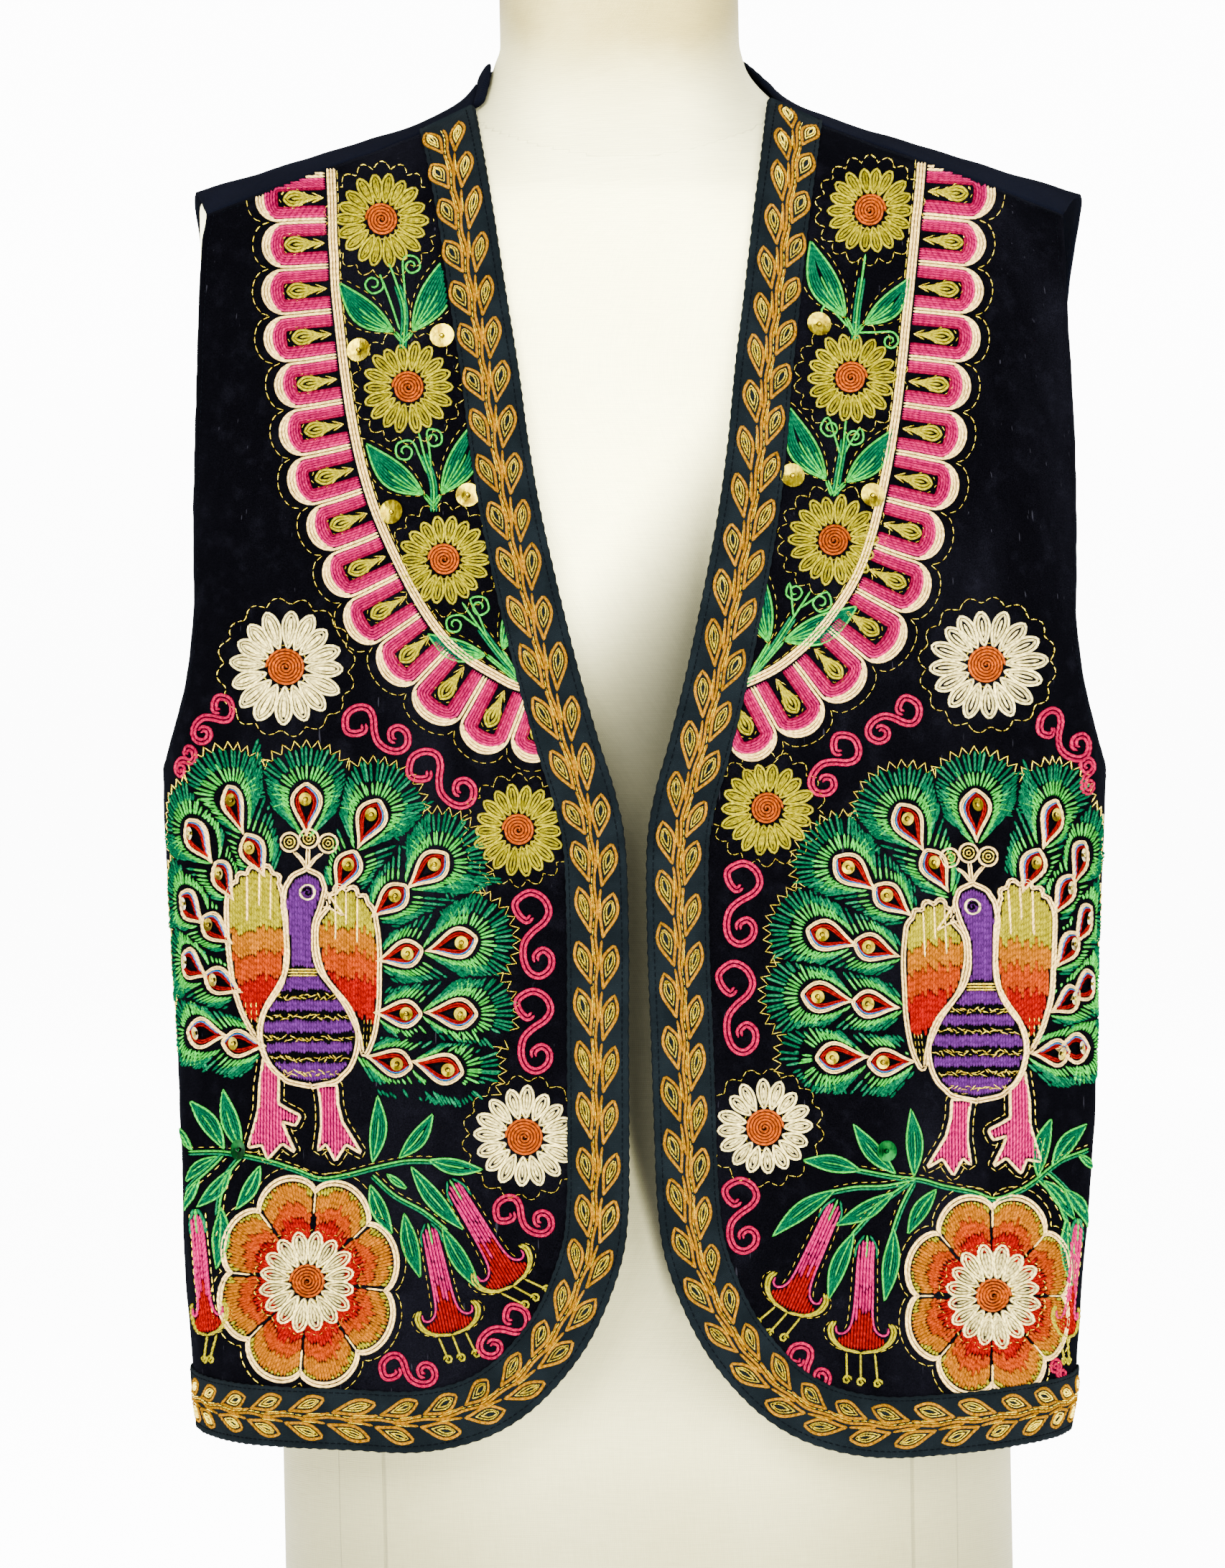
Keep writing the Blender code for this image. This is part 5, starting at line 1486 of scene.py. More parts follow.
def leaf_fan(wool, gold, base, leaves, stem_line, tendrils):
    """Two broad leaves, veined from the root, and a stem that spring from one point, with tendrils."""
    for root, tip, bend in leaves:
        stem(wool, [base, root], 2)
        length, width, bent = leaf(wool, BROAD, root, tip, bend)
        for share, far in ((-0.62, 0.36), (-0.30, 0.46), (0.0, 0.55), (0.32, 0.42), (0.64, 0.34)):
            aside = share * (width / 2)
            vein = [(1.0, 0.0), (length * far * 0.55, aside * 0.62), (length * far, aside * 0.95)]
            wool.row(bent(even_curve(vein, 16)), LIGHT_GREEN, 1.15, 0.95, lift=0.3)
        gold.dashes(bent(drop(length + 3.0, width + 3.2, 0.46, 0.0, 1.0)), 2.2, 1.8)
    line = stem(wool, stem_line, 1)
    beside = left_normals(line)
    for shift in (-1.1, 1.1):
        wool.row(line[:44] + beside[:44] * shift, MID_GREEN, 1.25, 0.8)
    gold.dashes(line + beside * 2.4, 2.4, 2.2)
    for places in tendrils:
        tendril(wool, *places)


# ---- the vine along a ribbon
VINE_STEP = 21.6
VINE_LEAF = (21.4, 8.2)
VINE_LEAN = 15.0


def vine(wool, gold, band, shift):
    """Pairs of leaves that climb the ribbon from the side seam to the shoulder."""
    middle = BAND_WIDTH / MM * 0.5 + 0.3
    reach = np.arange(9.0, band.length - 3.0, 4.0)
    sway = middle + 0.5 * np.sin(reach / VINE_STEP * 2 * math.pi)
    wool.row(np.stack([reach, sway], axis=1)[::-1], GOLDEN, 1.6, 0.75)
    gold.dashes(np.stack([reach, sway + 1.1], axis=1), 3.0, 0.8, 0.8, 0.9)
    pairs = np.arange(27.0, band.length - 5.0, VINE_STEP)
    for sign, foot in [(1, foot) for foot in pairs] + [(-1, foot + VINE_STEP * shift) for foot in pairs]:
        degrees = 180.0 - sign * (VINE_LEAN + chance.uniform(-2.5, 2.5))
        root = (min(foot, band.length - 3.0), middle + 2.2 * sign)
        length, width = VINE_LEAF[0] * chance.uniform(0.95, 1.05), VINE_LEAF[1] * chance.uniform(0.92, 1.08)
        stem_foot = min(foot + 13.0, band.length - 2.0)
        wool.row([(stem_foot, middle + 0.5 * sign), (foot + 6.0, middle + 1.3 * sign), root], GOLDEN, 1.5)
        glint = [(stem_foot - 2.0, middle + 1.5 * sign), (foot + 4.0, middle + 2.0 * sign)]
        gold.row(glint, GOLDEN, 0.8, 0.8)
        wool.row(at(drop(length, width, 0.61, 0.80, 0.98), root, degrees), GOLDEN, 1.75, 0.9)
        for inset, start in ((2.2, 3.4), (3.2, 4.8)):
            inner = drop(length - start - 1.4, width, 0.58, inset, 0.92, start)
            gold.row(at(inner, root, degrees), GOLDEN, 0.85, 0.75, stitch=1.8)


# ---- the peacock
# Height over the feet, half the bird's width and its middle, in mm, with its beak toward the opening.
BIRD_SECTIONS = np.array([
    (0.0, 0.0, -2.0), (2.0, 9.5, -2.0), (7.0, 15.6, -1.4), (15.0, 19.4, -1.0), (24.0, 20.0, -0.6),
    (33.0, 16.4, 0.0), (41.0, 10.4, 1.0), (49.0, 5.6, 2.2), (57.0, 4.7, 3.0), (67.0, 5.3, 3.2),
    (76.0, 7.4, 2.2), (82.0, 7.8, 1.0), (87.0, 5.4, 0.4), (89.5, 0.0, 0.4),
])
# Each wing's inner and outer edges by height.
INNER_WING = ((14.0, -24.6, -23.4), (22.0, -27.6, -21.8), (34.0, -29.2, -16.0), (46.0, -29.4, -7.6),
              (58.0, -29.4, -4.4), (68.0, -28.2, -4.8), (74.0, -26.4, -9.0), (81.0, -18.6, -11.6))
OUTER_WING = ((21.0, 20.4, 21.4), (30.0, 19.2, 26.4), (42.0, 11.6, 30.4), (54.0, 9.4, 32.0),
              (68.0, 9.6, 33.2), (80.0, 11.2, 33.0), (86.0, 13.2, 28.6), (89.5, 16.0, 23.0))
WINGS = (INNER_WING, OUTER_WING)
WING_COLOURS = ((67.0, WING_OLIVE), (57.0, AMBER), (46.5, FLAME), (30.0, RED), (-9.0, BLACK_YARN))
FINGER = 5.6                # across one feather at a wing's top
BIRD_STRIPES = (11.0, 19.5, 28.5, 37.0)
COLLAR = 47.0
EYE = (-0.2, 80.6)
CROWN = ((-8.6, 101.0), (-0.6, 103.0), (7.4, 101.5))
# The outlines of the two legs, from the belly down to the toes and back.
LEGS = (
    ((18.4, 11.5), (20.0, 0.0), (20.4, -10.4), (22.6, -18.1), (24.8, -26.2), (18.9, -25.0), (16.6, -31.0),
     (10.5, -24.4), (4.9, -28.2), (8.7, -20.3), (10.5, -15.2), (4.9, -17.0), (3.0, -12.8), (8.0, -10.2),
     (12.2, -7.6), (12.0, 5.0)),
    ((-4.4, 0.0), (-5.7, -9.0), (-5.9, -17.0), (-4.4, -27.6), (-7.7, -24.6), (-11.7, -31.8), (-16.1, -24.8),
     (-22.7, -28.6), (-14.6, -15.4), (-12.8, -8.2), (-12.3, 0.0)),
)
FAN_FROM = (0.0, 38.0)


def bird_half(up):
    return tuple(np.interp(up, BIRD_SECTIONS[:, 0], BIRD_SECTIONS[:, column]) for column in (1, 2))


def closed_ring(knots, count):
    ring = even_curve(knots, count, closed=True)
    return np.vstack([ring, ring[:1]])


def bird_outline(grow=0.0):
    up = np.concatenate([np.linspace(0.0, 9.0, 10), np.linspace(13.0, 78.0, 20), np.linspace(80.0, 89.5, 9)])
    half, middle = bird_half(up)
    right, left = np.stack([middle + half, up], axis=1), np.stack([middle - half, up], axis=1)[::-1]
    ring = closed_ring(np.concatenate([right[::2], left[::2]]), 180)
    return ring + left_normals(ring) * -grow


def wing_outline(rows, grow=0.0):
    """A wing's outline, rippled along its top by the tips of its feathers, and the places between them."""
    rows = np.array(rows)
    ring = closed_ring(np.concatenate([rows[:, [2, 0]], rows[::-1][:, [1, 0]]]), 220)
    reach = np.concatenate([[0.0], np.cumsum(np.hypot(*np.diff(ring, axis=0).T))])
    tips = np.clip((ring[:, 1] - ring[:, 1].max() + 7.5) / 3.5, 0.0, 1.0)
    ripple = np.abs(np.sin(math.pi * reach / FINGER))
    here = ripple[1:-1]
    dips = np.flatnonzero((tips[1:-1] > 0.7) & (here < ripple[:-2]) & (here <= ripple[2:])) + 1
    ring = ring - left_normals(ring) * (grow + tips * (ripple - 0.45) * 2.4)[:, None]
    return ring, ring[dips]


def peacock(wool, gold, foot, lean, feathers):
    """The bird, its spread tail and its legs, by places measured from its belly's foot."""

    def put(line):
        line = np.array(line, float)
        line[:, 0] += lean * line[:, 1] / 80.0
        return at(line, foot)

    def wing_colour(place, wander):
        slope = place[1] - foot[1] + wander * 1.4 + 0.12 * abs(place[0] - foot[0])
        return next(colour for level, colour in WING_COLOURS if slope > level)

    def body_colour(place, wander):
        up = place[1] - foot[1] + wander * 0.5
        if abs(up - COLLAR) < 1.9:
            return None
        return BLACK_YARN if up < 41 and any(abs(up - level) < 1.9 for level in BIRD_STRIPES) else PURPLE

    for rows in WINGS:
        hatch(wool, put(wing_outline(rows, -0.8)[0]), 90.0, wing_colour, 1.15, 1.95, 0.5, 1.0, 0.62)
        for grow in (0.0, 1.15):
            wool.row(put(wing_outline(rows, grow)[0]), CREAM, 1.3, 0.95, lift=0.15)
        low = rows[0][0]
        for x in np.linspace(rows[1][1] + 1.5, rows[1][2] - 1.5, 3):
            gold.dashes(put([(x, low + 2.0), (x * 1.03, low + 15.0)]), 2.2, 0.8, 0.7, 0.9)
        for k, (x, y) in enumerate(wing_outline(rows)[1]):
            wool.row(put([(x, y - 19.0 + 5.0 * (k % 2)), (x, y - 0.4)]), CREAM, 1.1, 1.0, lift=0.4)

    hatch(wool, put(bird_outline(-0.9)), 90.0, body_colour, 1.15, 1.95, 0.5, 0.4, 0.62)
    for grow in (0.1, 1.25):
        wool.row(put(bird_outline(grow)), CREAM, 1.35, 1.0, lift=0.35)
    for level in (*BIRD_STRIPES, 5.0):
        half, middle = bird_half(level)
        for x in np.arange(middle - half + 1.8, middle + half - 1.4, 1.15):
            x, y = x + chance.uniform(-0.5, 0.5), level + chance.uniform(-0.9, 0.9)
            slant, rise = chance.uniform(0.4, 1.5), chance.uniform(-1.0, 1.0)
            gold.row(put([(x - slant, y - rise), (x + slant, y + rise)]), GOLDEN, 0.75, 1.0, lift=0.3)
    half, middle = bird_half(COLLAR)
    for y in (COLLAR - 1.2, COLLAR, COLLAR + 1.2):
        gold.row(put([(middle - half + 0.8, y), (middle + half - 0.8, y)]), GOLDEN, 1.2, 0.9)
    disc(wool, put([EYE])[0], 2.9, BLACK_YARN, lift=0.7)
    wool.row(put(ring_line(EYE, 3.1, count=24)), WHITE, 1.1, 1.1, lift=0.9)
    beak = [(-7.6, 81.5), (-15.5, 70.5), (-10.5, 73.5), (-6.4, 74.5)]
    wool.row(put(beak), CREAM, 1.4, 1.0, lift=0.3)
    wool.row(put([(-7.0, 78.5), (-12.5, 72.5)]), BLACK_YARN, 1.6, 0.8, lift=0.3)
    for x, y in CROWN:
        middle = put([(x, y)])[0]
        wool.row(ring_line(middle, 3.9, count=30), CREAM, 1.4, 0.95)
        gold.row(ring_line(middle, 2.3, count=20), GOLDEN, 1.0, 0.8)
        gold.row(ring_line(middle, 1.0, count=12), GOLDEN, 0.9, 0.8)
        for shift in (-0.5, 0.6):
            wool.row(put([(shift, 90.5), (x * 0.35 + shift, 94.5), (x * 0.7 + shift, y - 4.2)]), CREAM, 1.1)
    for outline in LEGS:
        ring = even_line(np.array([*outline, outline[0]], float), 130)
        hatch(wool, at(ring, foot), 90.0, lambda place, wander: LIGHT_PINK, inset=0.8)
        wool.row(at(ring, foot), CREAM, 1.7, 0.95, lift=0.2)
        gold.dashes(at(ring + left_normals(ring) * 2.4, foot), 2.8, 1.2)
    kept_clear = [put(bird_outline(1.6)), *(put(wing_outline(rows, 1.6)[0]) for rows in WINGS)]
    tail(wool, gold, np.add(foot, FAN_FROM), feathers, kept_clear)


# One eye's rows: how far in from its outline, the colour and the yarn.
EYE_ROWS = ((0.0, CREAM, 1.15), (0.85, CREAM, 1.0), (1.75, LIGHT_BLUE, 0.9), (2.3, RED, 1.2), (3.3, RED, 1.2),
            (4.4, BLACK_YARN, 1.0))
# Places on the chart near the side seam, and how much an eye there is narrowed.
NARROW_PLACES, NARROWED = (150.0, 175.0, 190.0, 200.0), (1.0, 0.86, 0.68, 0.50)


def eye_drop(wool, root, tip, width):
    """One eye of a feather: a drop with its point toward the bird, blue at its tip only."""
    root, _, reach, length, degrees = heading(root, tip)
    middle = root[0] + reach[0] * 0.6
    narrowed = np.interp(middle, NARROW_PLACES, NARROWED)
    for inset, colour, yarn in EYE_ROWS:
        if width / 2 - inset > 0.7:
            loop = drop(length, width, 0.66, inset, 0.86)
            loop = at(loop[3:15] if colour is LIGHT_BLUE else loop, root, degrees)
            loop[:, 0] = middle + (loop[:, 0] - middle) * narrowed
            wool.row(loop, colour, yarn, 0.9, lift=0.2)


def half_eye(below, half, head, root):
    """Half an eye's width at a place so far below its fullest."""
    if below < 0.0:
        return half * math.sqrt(max(1.0 - (below / head) ** 2, 0.0))
    return half * math.cos(min(below / root, 1.0) * math.pi / 2)


def turn_about(centre, place):
    """The angle of a place about a centre, from straight down on the beak's side upwards."""
    return (math.atan2(place[1] - centre[1], place[0] - centre[0]) + math.pi / 2) % (2 * math.pi)


def tail(wool, gold, centre, feathers, kept_clear):
    """Feathers round a fan: paired eyes, light strokes beside them and dark strokes beyond."""
    shafts, axes = [], []
    for outer, inner in feathers:
        away = (outer - centre) / math.hypot(*(outer - centre))
        axis = away if inner is None else np.subtract(outer, inner) / math.hypot(*np.subtract(outer, inner))
        axis = axis * 0.7 + away * 0.3
        axis /= math.hypot(*axis)
        knee = np.array(outer if inner is None else inner, float)
        shafts.append((outer + axis * 5.0, knee, knee - axis * 24.0))
        axes.append(axis)
    knots = np.array(shafts)
    reach = knots[:, 1:] - knots[:, :-1]
    turns = [turn_about(centre, outer) for outer, _ in feathers]

    def nearest(place):
        """Which feather a place belongs to, or none on the bird and past the fan's ends."""
        if any((crossings(ring, place[1]) > place[0]).sum() % 2 for ring in kept_clear):
            return None
        along = np.clip(((place - knots[:, :-1]) * reach).sum(axis=2) / (reach**2).sum(axis=2), 0.0, 1.0)
        off = np.linalg.norm(place - knots[:, :-1] - reach * along[..., None], axis=2).min(axis=1)
        if off.min() > 15.0 and not min(turns) < turn_about(centre, place) < max(turns):
            return None
        return int(np.argmin(off))

    for k, (outer, inner) in enumerate(feathers):
        feather(wool, gold, np.array(outer, float), inner, axes[k], lambda place: nearest(place) == k)


# The strokes that go on from one beside an eye, further out: where each starts, and its colour.
FURTHER = ((4.6, MID_GREEN), (10.2, DARK_GREEN), (15.8, DARK_GREEN))


def feather(wool, gold, outer, inner, axis, owns):
    normal = np.array([-axis[1], axis[0]])
    if inner is not None:
        eye_drop(wool, inner - axis * 14.0, inner + axis * 6.2, 11.6)
    eye_drop(wool, outer - axis * 15.6, outer + axis * 6.8, 13.0)

    def stroke(start, direction, length, colour, wide=1.3):
        length = length + chance.normal(0.0, 0.8)
        colour = varied(colour, 0.70, 1.25)
        kept = []
        for share in (0.0, 0.34, 0.67, 1.0):
            place = start + direction * length * share
            if not owns(place):
                break
            kept.append(place)
        if len(kept) > 1:
            wool.row(kept, colour, wide, 0.8, stitch=2.2)

    def turned(degrees, wander):
        turn = math.radians(degrees + (chance.normal(0.0, wander) if wander else 0.0))
        return axis * math.cos(turn) + normal * math.sin(turn)

    heart = outer + axis * 0.6
    for degrees in np.arange(-104.0, 105.0, 9.6):
        direction = turned(degrees, 1.2)
        stroke(heart + direction * 7.6, direction, 6.2, LIGHT_GREEN, 1.35)
    for k, degrees in enumerate(np.arange(-112.0, 113.0, 6.6)):
        direction = turned(degrees, 1.0)
        stroke(heart + direction * 13.2, direction, 8.2, DARK_GREEN if k % 3 else MID_GREEN, 1.5)
    knee = outer if inner is None else np.array(inner, float)
    spread = math.hypot(*(outer - knee))
    chain = axis if inner is None else (outer - knee) / spread
    lean = math.radians(46.0)
    for k, along in enumerate(np.arange(-2.0, 17.0 + spread, 1.8)):
        centre = outer - chain * along if along < spread else knee - axis * (along - spread)
        lower = half_eye(along - spread, 5.9, 6.4, 14.0) if spread else 0.0
        wide = 1.0 + max(half_eye(along, 6.6, 6.8, 15.6), lower)
        for sign in (-1.0, 1.0):
            direction = axis * math.cos(lean) + normal * sign * math.sin(lean)
            start = centre + normal * sign * wide
            stroke(start, direction, 5.0, LIGHT_GREEN)
            for begin, colour in FURTHER:
                stroke(start + direction * begin, direction, 5.6, colour if k % 3 else DARK_GREEN, 1.5)
    for degrees in np.arange(-84.0, 85.0, 12.0):
        direction = turned(degrees, 0.0)
        beside = np.array([-direction[1], direction[0]])
        start = heart + direction * 20.5
        if owns(start):
            spur = [start - beside * 2.0, start + direction * 3.6, start + beside * 2.0]
            gold.row(spur, GOLDEN, 0.55, 0.5, stitch=3.5)


# ---- the big flower of the hem
LOBES = 8
TALL = 1.17                 # how much taller than wide the big flower looks
LOBE_COLOURS = (RED, FLAME, AMBER, WING_OLIVE)
LOBE_LEVELS = (0.37, 0.64, 0.97)
DAISY_PETALS = 16


def great_flower(wool, gold, centre, radius, petal, heart, turn):
    """Eight round lobes outlined in cream, filled from olive to red, with a daisy in the middle."""

    def edge_at(angle, inset):
        swing = np.abs(np.sin((angle - turn) * LOBES / 2))
        return radius - inset - 6.0 * (1 - swing**0.60)

    def spread(r, angle):
        return np.stack([centre[0] + r * np.cos(angle), centre[1] + TALL * r * np.sin(angle)], axis=1)

    t = np.linspace(0.0, 2 * math.pi, 321)
    for inset in (0.0, 1.3):
        wool.row(spread(edge_at(t, inset), t), CREAM, 1.6, 0.95)
    for k in range(LOBES):
        r = np.linspace(petal * 1.25, radius - 6.8, 12)
        wool.row(spread(r, turn + 2 * math.pi * k / LOBES), CREAM, 1.05, 0.95, lift=0.2)
    start = petal * 0.78
    for low, high in ((start, start + 9.5), (start + 8.2, radius)):
        count = int(2 * math.pi * (low + high) / 2 * 1.08 / 1.22)
        for k in range(count):
            angle = 2 * math.pi * k / count
            edge = edge_at(angle, 2.3)
            far = min(high, edge)
            from_seam = abs((angle - turn + math.pi / LOBES) % (2 * math.pi / LOBES) - math.pi / LOBES)
            if far - low < 1.0 or from_seam < 0.030:
                continue
            r = np.linspace(low + chance.uniform(-0.5, 0.5), far, 12)
            lobe = abs(math.sin((angle - turn) * LOBES / 2))
            share = (r - start) / (edge - start) + 0.16 * (1 - lobe) + chance.normal(0.0, 0.04)
            bands = np.searchsorted(LOBE_LEVELS, share)
            line = spread(r, angle)
            for band in np.unique(bands):
                part = np.flatnonzero(bands == band)
                part = line[part[0] : part[-1] + 2]
                if len(part) > 1:
                    wool.row(part, LOBE_COLOURS[band], 1.95, 0.8)
    root = heart * 0.76
    for k in range(DAISY_PETALS):
        degrees = 360.0 * (k + 0.5) / DAISY_PETALS
        reach = petal * (1.0 + 0.13 * abs(math.sin(math.radians(degrees)))) * chance.uniform(0.96, 1.04)
        # Inside each petal's outline the white yarn is made darker: painted shade between the petal's
        # strands.
        colours = [WHITE, varied(WHITE, 0.60, 0.80)]
        filled_drop(wool, centre, degrees, reach - root, 7.2, colours, 0.64, 0.58, root, 1.5, 1.42, 0.9)
    disc(wool, centre, heart, ORANGE, lift=1.0)
    gold.dashes(ring_line(centre, heart + 0.6), 1.2, 1.6, 0.6, 1.6)
    gold.dashes(ring_line(centre, petal + 2.2, DAISY_PETALS, 2.4), 1.8, 1.2, 0.6, 1.1)
    gold.dashes(spread(edge_at(t, -3.2), t), 3.0, 1.2)


# ---- bell flowers and the branch
# Half of a bell's outline and its trims, along and across its tube, as shares of its length and width.
BELL_SIDE = ((0.0, 0.22), (0.30, 0.25), (0.60, 0.30), (0.76, 0.36), (0.83, 0.52), (0.87, 0.82), (0.93, 0.78),
             (0.97, 0.50), (0.98, 0.0))
BELL_LIP = ((0.04, 0.25), (0.36, 0.29), (0.66, 0.34), (0.79, 0.46), (0.84, 0.72), (0.82, 0.92), (0.77, 0.92))
BELL_RIM = np.array([
    (0.73, 0.98), (0.79, 1.12), (0.87, 1.06), (0.93, 0.86), (0.97, 0.58), (0.99, 0.20), (1.0, 0.0),
])
POD_RADIUS = 2.7


def bell(wool, gold, cap, end, half, pods):
    """A bell flower that hangs from a green cap, with its lips curled out and stamens below."""
    cap, end, reach, length, degrees = heading(cap, end)

    def put(shares, sign=1.0):
        return at(even_curve(np.array(shares) * (length, half * sign), 40), cap, degrees)

    def tube_colour(place, wander):
        share = np.dot(place - cap, reach) / length**2 + wander * 0.10
        return RED if share > 0.62 else MID_PINK if share > 0.42 else LIGHT_PINK

    hatch(wool, np.vstack([put(BELL_SIDE), put(BELL_SIDE, -1.0)[::-1]]), degrees, tube_colour, inset=0.3)
    for sign in (-1.0, 1.0):
        wool.row(put(BELL_LIP, sign), LIGHT_PINK, 1.3, 1.0, lift=0.25)
        for grow in (0.95, 1.05):
            wool.row(put(BELL_RIM * (1.0, grow), sign), OLIVE, 1.6, 1.0, lift=0.2)
        gold.dashes(put(BELL_RIM * (1.0, 1.2) + (0.01, 0.0), sign), 2.2, 1.2)
        gold.dashes(put(np.array(BELL_SIDE[:5]) + (0.0, 0.20), sign), 2.4, 1.4)
    for across in (-0.34, 0.0, 0.34):
        tip = [(-0.04, across * 0.3), (0.06, across), (0.16, across * 1.15)]
        wool.row(put(tip), MID_GREEN if across else LIGHT_GREEN, 1.3, 0.95, lift=0.3)
    side = np.array([-reach[1], reach[0]]) / length
    way = np.sign(np.dot(np.subtract(pods[-1], pods[0]), side) or 1.0)
    for share, pod in zip((-0.5, 0.0, 0.5), pods):
        begin = end + side * share * half * way
        wool.row([begin, (begin + pod) / 2, pod], OLIVE, 1.2)
        disc(wool, pod, POD_RADIUS, OLIVE, 1.4, 1.15)


def branch(wool, gold, stems, leaves):
    """Forking stems with slim leaves, each with a short light vein."""
    for knots in stems:
        line = stem(wool, knots, 1)
        beside = left_normals(line)
        wool.row(line + beside * 1.2, MID_GREEN, 1.2, 0.75)
        gold.dashes(line - beside * 1.6, 2.4, 1.6)
    for root, tip, bend in leaves:
        length, _, bent = leaf(wool, SLIM, root, tip, bend)
        vein = [(length * share, 0.0) for share in (0.12, 0.40, 0.66)]
        wool.row(bent(vein), LIGHT_GREEN, 1.1, 0.9, lift=0.25)


# ---- where the motifs are sewn
# Places on the chart of each front, the wearer's right and left, in mm out from its middle and up from
# its hem.
SUNFLOWERS = {"right": ((106, 518, 20.0), (95, 448, 19.5), (80, 376, 19.5), (49, 263, 19.5)),
              "left": ((98, 522, 18.8), (90, 452, 19.5), (83, 384, 19.5), (55, 272, 20.0))}
DAISIES = {"right": ((146, 331, 24.6), (46.5, 134.5, 21.6)), "left": ((146.5, 332, 24.0), (54, 138.5, 20.4))}
GREAT_FLOWERS = {"right": (136.7, 74.4, 38.6, 0.10), "left": (149.0, 68.4, 37.6, 0.0)}
SCALLOP_LINES = {
    "right": ((129, 552), (128, 530), (126, 485), (118, 426), (105, 384), (82, 344), (56, 325), (41, 320)),
    "left": ((121, 552), (120, 534), (115, 484), (109, 431), (98, 380), (82, 351), (62, 331.5), (41, 321)),
}
SCALLOP_COUNT = {"right": 14, "left": 13}
SCALLOP_START = {"right": 0.3, "left": 0.1}
SCROLLS = {
    "right": (((44, 230.5), (39.2, 207.5)), ((43.2, 189.5), (40.2, 167.5)), ((88.9, 289.7), (71.4, 279.3)),
              ((116.2, 308.5), (98.7, 301.8)), ((54, 104.2), (38.4, 99.6)), ((49.9, 59.3), (60.3, 46.3)),
              ((101.9, 38.5), (87, 36.5)), ((172.2, 314.4), (181.4, 302.8)),
              ((187.6, 294.8), (193.4, 288.0))),
    "left": (((44.7, 243), (45.5, 220.5)), ((41.4, 200.5), (46.3, 176)), ((87.6, 297.8), (78.9, 281.8)),
             ((114, 313.5), (101.6, 303.2)), ((43.4, 111.3), (46.6, 91.8)), ((68.1, 43.7), (77.9, 33.9)),
             ((173.1, 307.5), (189.1, 298.4)), ((192.6, 290.0), (194.0, 281.0)),
             ((177.4, 39.1), (182.6, 35.2))),
}
# Each feather's outer eye and, if it has one, its inner eye.
FEATHERS = {
    "right": (((78.5, 163), (99.3, 165.5)), ((72.7, 186.3), (95.4, 186.3)), ((72.7, 216.2), (94.8, 211.7)),
              ((83.7, 248.8), (100, 235.7)), ((109.7, 269.6), (119.5, 248.8)), ((137.4, 276.1), None),
              ((170.2, 275.4), (160.5, 255.9)), ((186.5, 261.8), (174.8, 244.9)),
              ((191, 232.5), (178, 223.4)),
              ((189.7, 207.8), (175.4, 200.6)), ((183.2, 178.5), (167, 174))),
    "left": (((82, 168), (103, 166)), ((76, 193.5), (96.5, 190.5)), ((78, 219.5), (97, 214.5)),
             ((88.5, 247.5), (104.5, 236)), ((113, 268), (124, 249.5)), ((142, 273.5), None),
             ((175.5, 269.5), (166.5, 249.5)), ((190, 252.5), (181, 239)), ((192, 226.5), (183, 215.5)),
             ((193, 199), (183.5, 193)), ((187.5, 172), (177.5, 170))),
}
BIRD_FEET = {"right": (137.0, 156.5, 0.0), "left": (144.4, 150.5, -3.6)}
# Base, then each leaf's root, tip and bend, the stem's places, and each tendril's start, bend, curl and
# turns.
LEAF_FANS = {
    "right": (
        ((97.2, 466.9), (((100.5, 471), (124.1, 492.2), -2.5), ((93.5, 471), (77.6, 505.1), 2.5)),
         ((97.2, 464), (96.5, 480), (100, 492), (103, 500)),
         (((98.5, 472), (107, 495.5), (109.6, 491.2), 1.5), ((96, 474), (97, 502), (93.6, 498.9), 1.5))),
        ((84.3, 398.5), (((88, 403), (112.7, 424.9), -2.5), ((81.5, 403), (66.2, 435.7), 2.5)),
         ((84.3, 396), (84.5, 408), (88, 419), (90.5, 429)),
         (((87, 412), (93.5, 425.5), (96.2, 421.2), -1.5), ((85, 410), (87, 430), (84.3, 426.4), 1.5))),
        ((46.6, 323.1), (((62, 336), (87.4, 345.3), -2.5), ((56, 338), (50.7, 364.9), 2.5)),
         ((42, 320), (54, 333), (64, 346), (72.4, 358.2)),
         (((66, 348), (73.5, 353), (75.5, 348.9), -1.5), ((62, 344), (69, 359.5), (65.2, 356.2), 1.5))),
    ),
    "left": (
        ((91.4, 469.6), (((95, 474), (114.9, 494.3), -2.5), ((88, 477), (73, 509.8), 2.5)),
         ((91.6, 467), (92.6, 480), (94.2, 490.9), (96, 503.5)),
         (((93, 471), (107.5, 471), (106.3, 467.3), -1.4), ((89, 473), (80, 482.2), (79.5, 479), 0.4))),
        ((82.2, 402.9), (((87.5, 408), (108, 431), -2.0), ((80, 409), (63.8, 440.8), 3.0)),
         ((83.3, 402.9), (85, 413), (86.8, 423.5), (88, 435)),
         (((86, 418), (80.5, 435.5), (81.4, 431), 1.5), ((87, 420), (94, 431), (91.4, 427.4), -1.5))),
        ((45.5, 323.7), (((61.5, 342), (93.1, 357), -2.5), ((55.8, 341), (51.2, 375.3), 2.5)),
         ((45.5, 323.7), (56, 337), (66, 352), (73, 362.7)),
         (((66, 352), (64.5, 366.5), (66.7, 362.7), 1.5), ((69, 356), (80, 362.5), (77.4, 358.2), -1.5))),
    ),
}
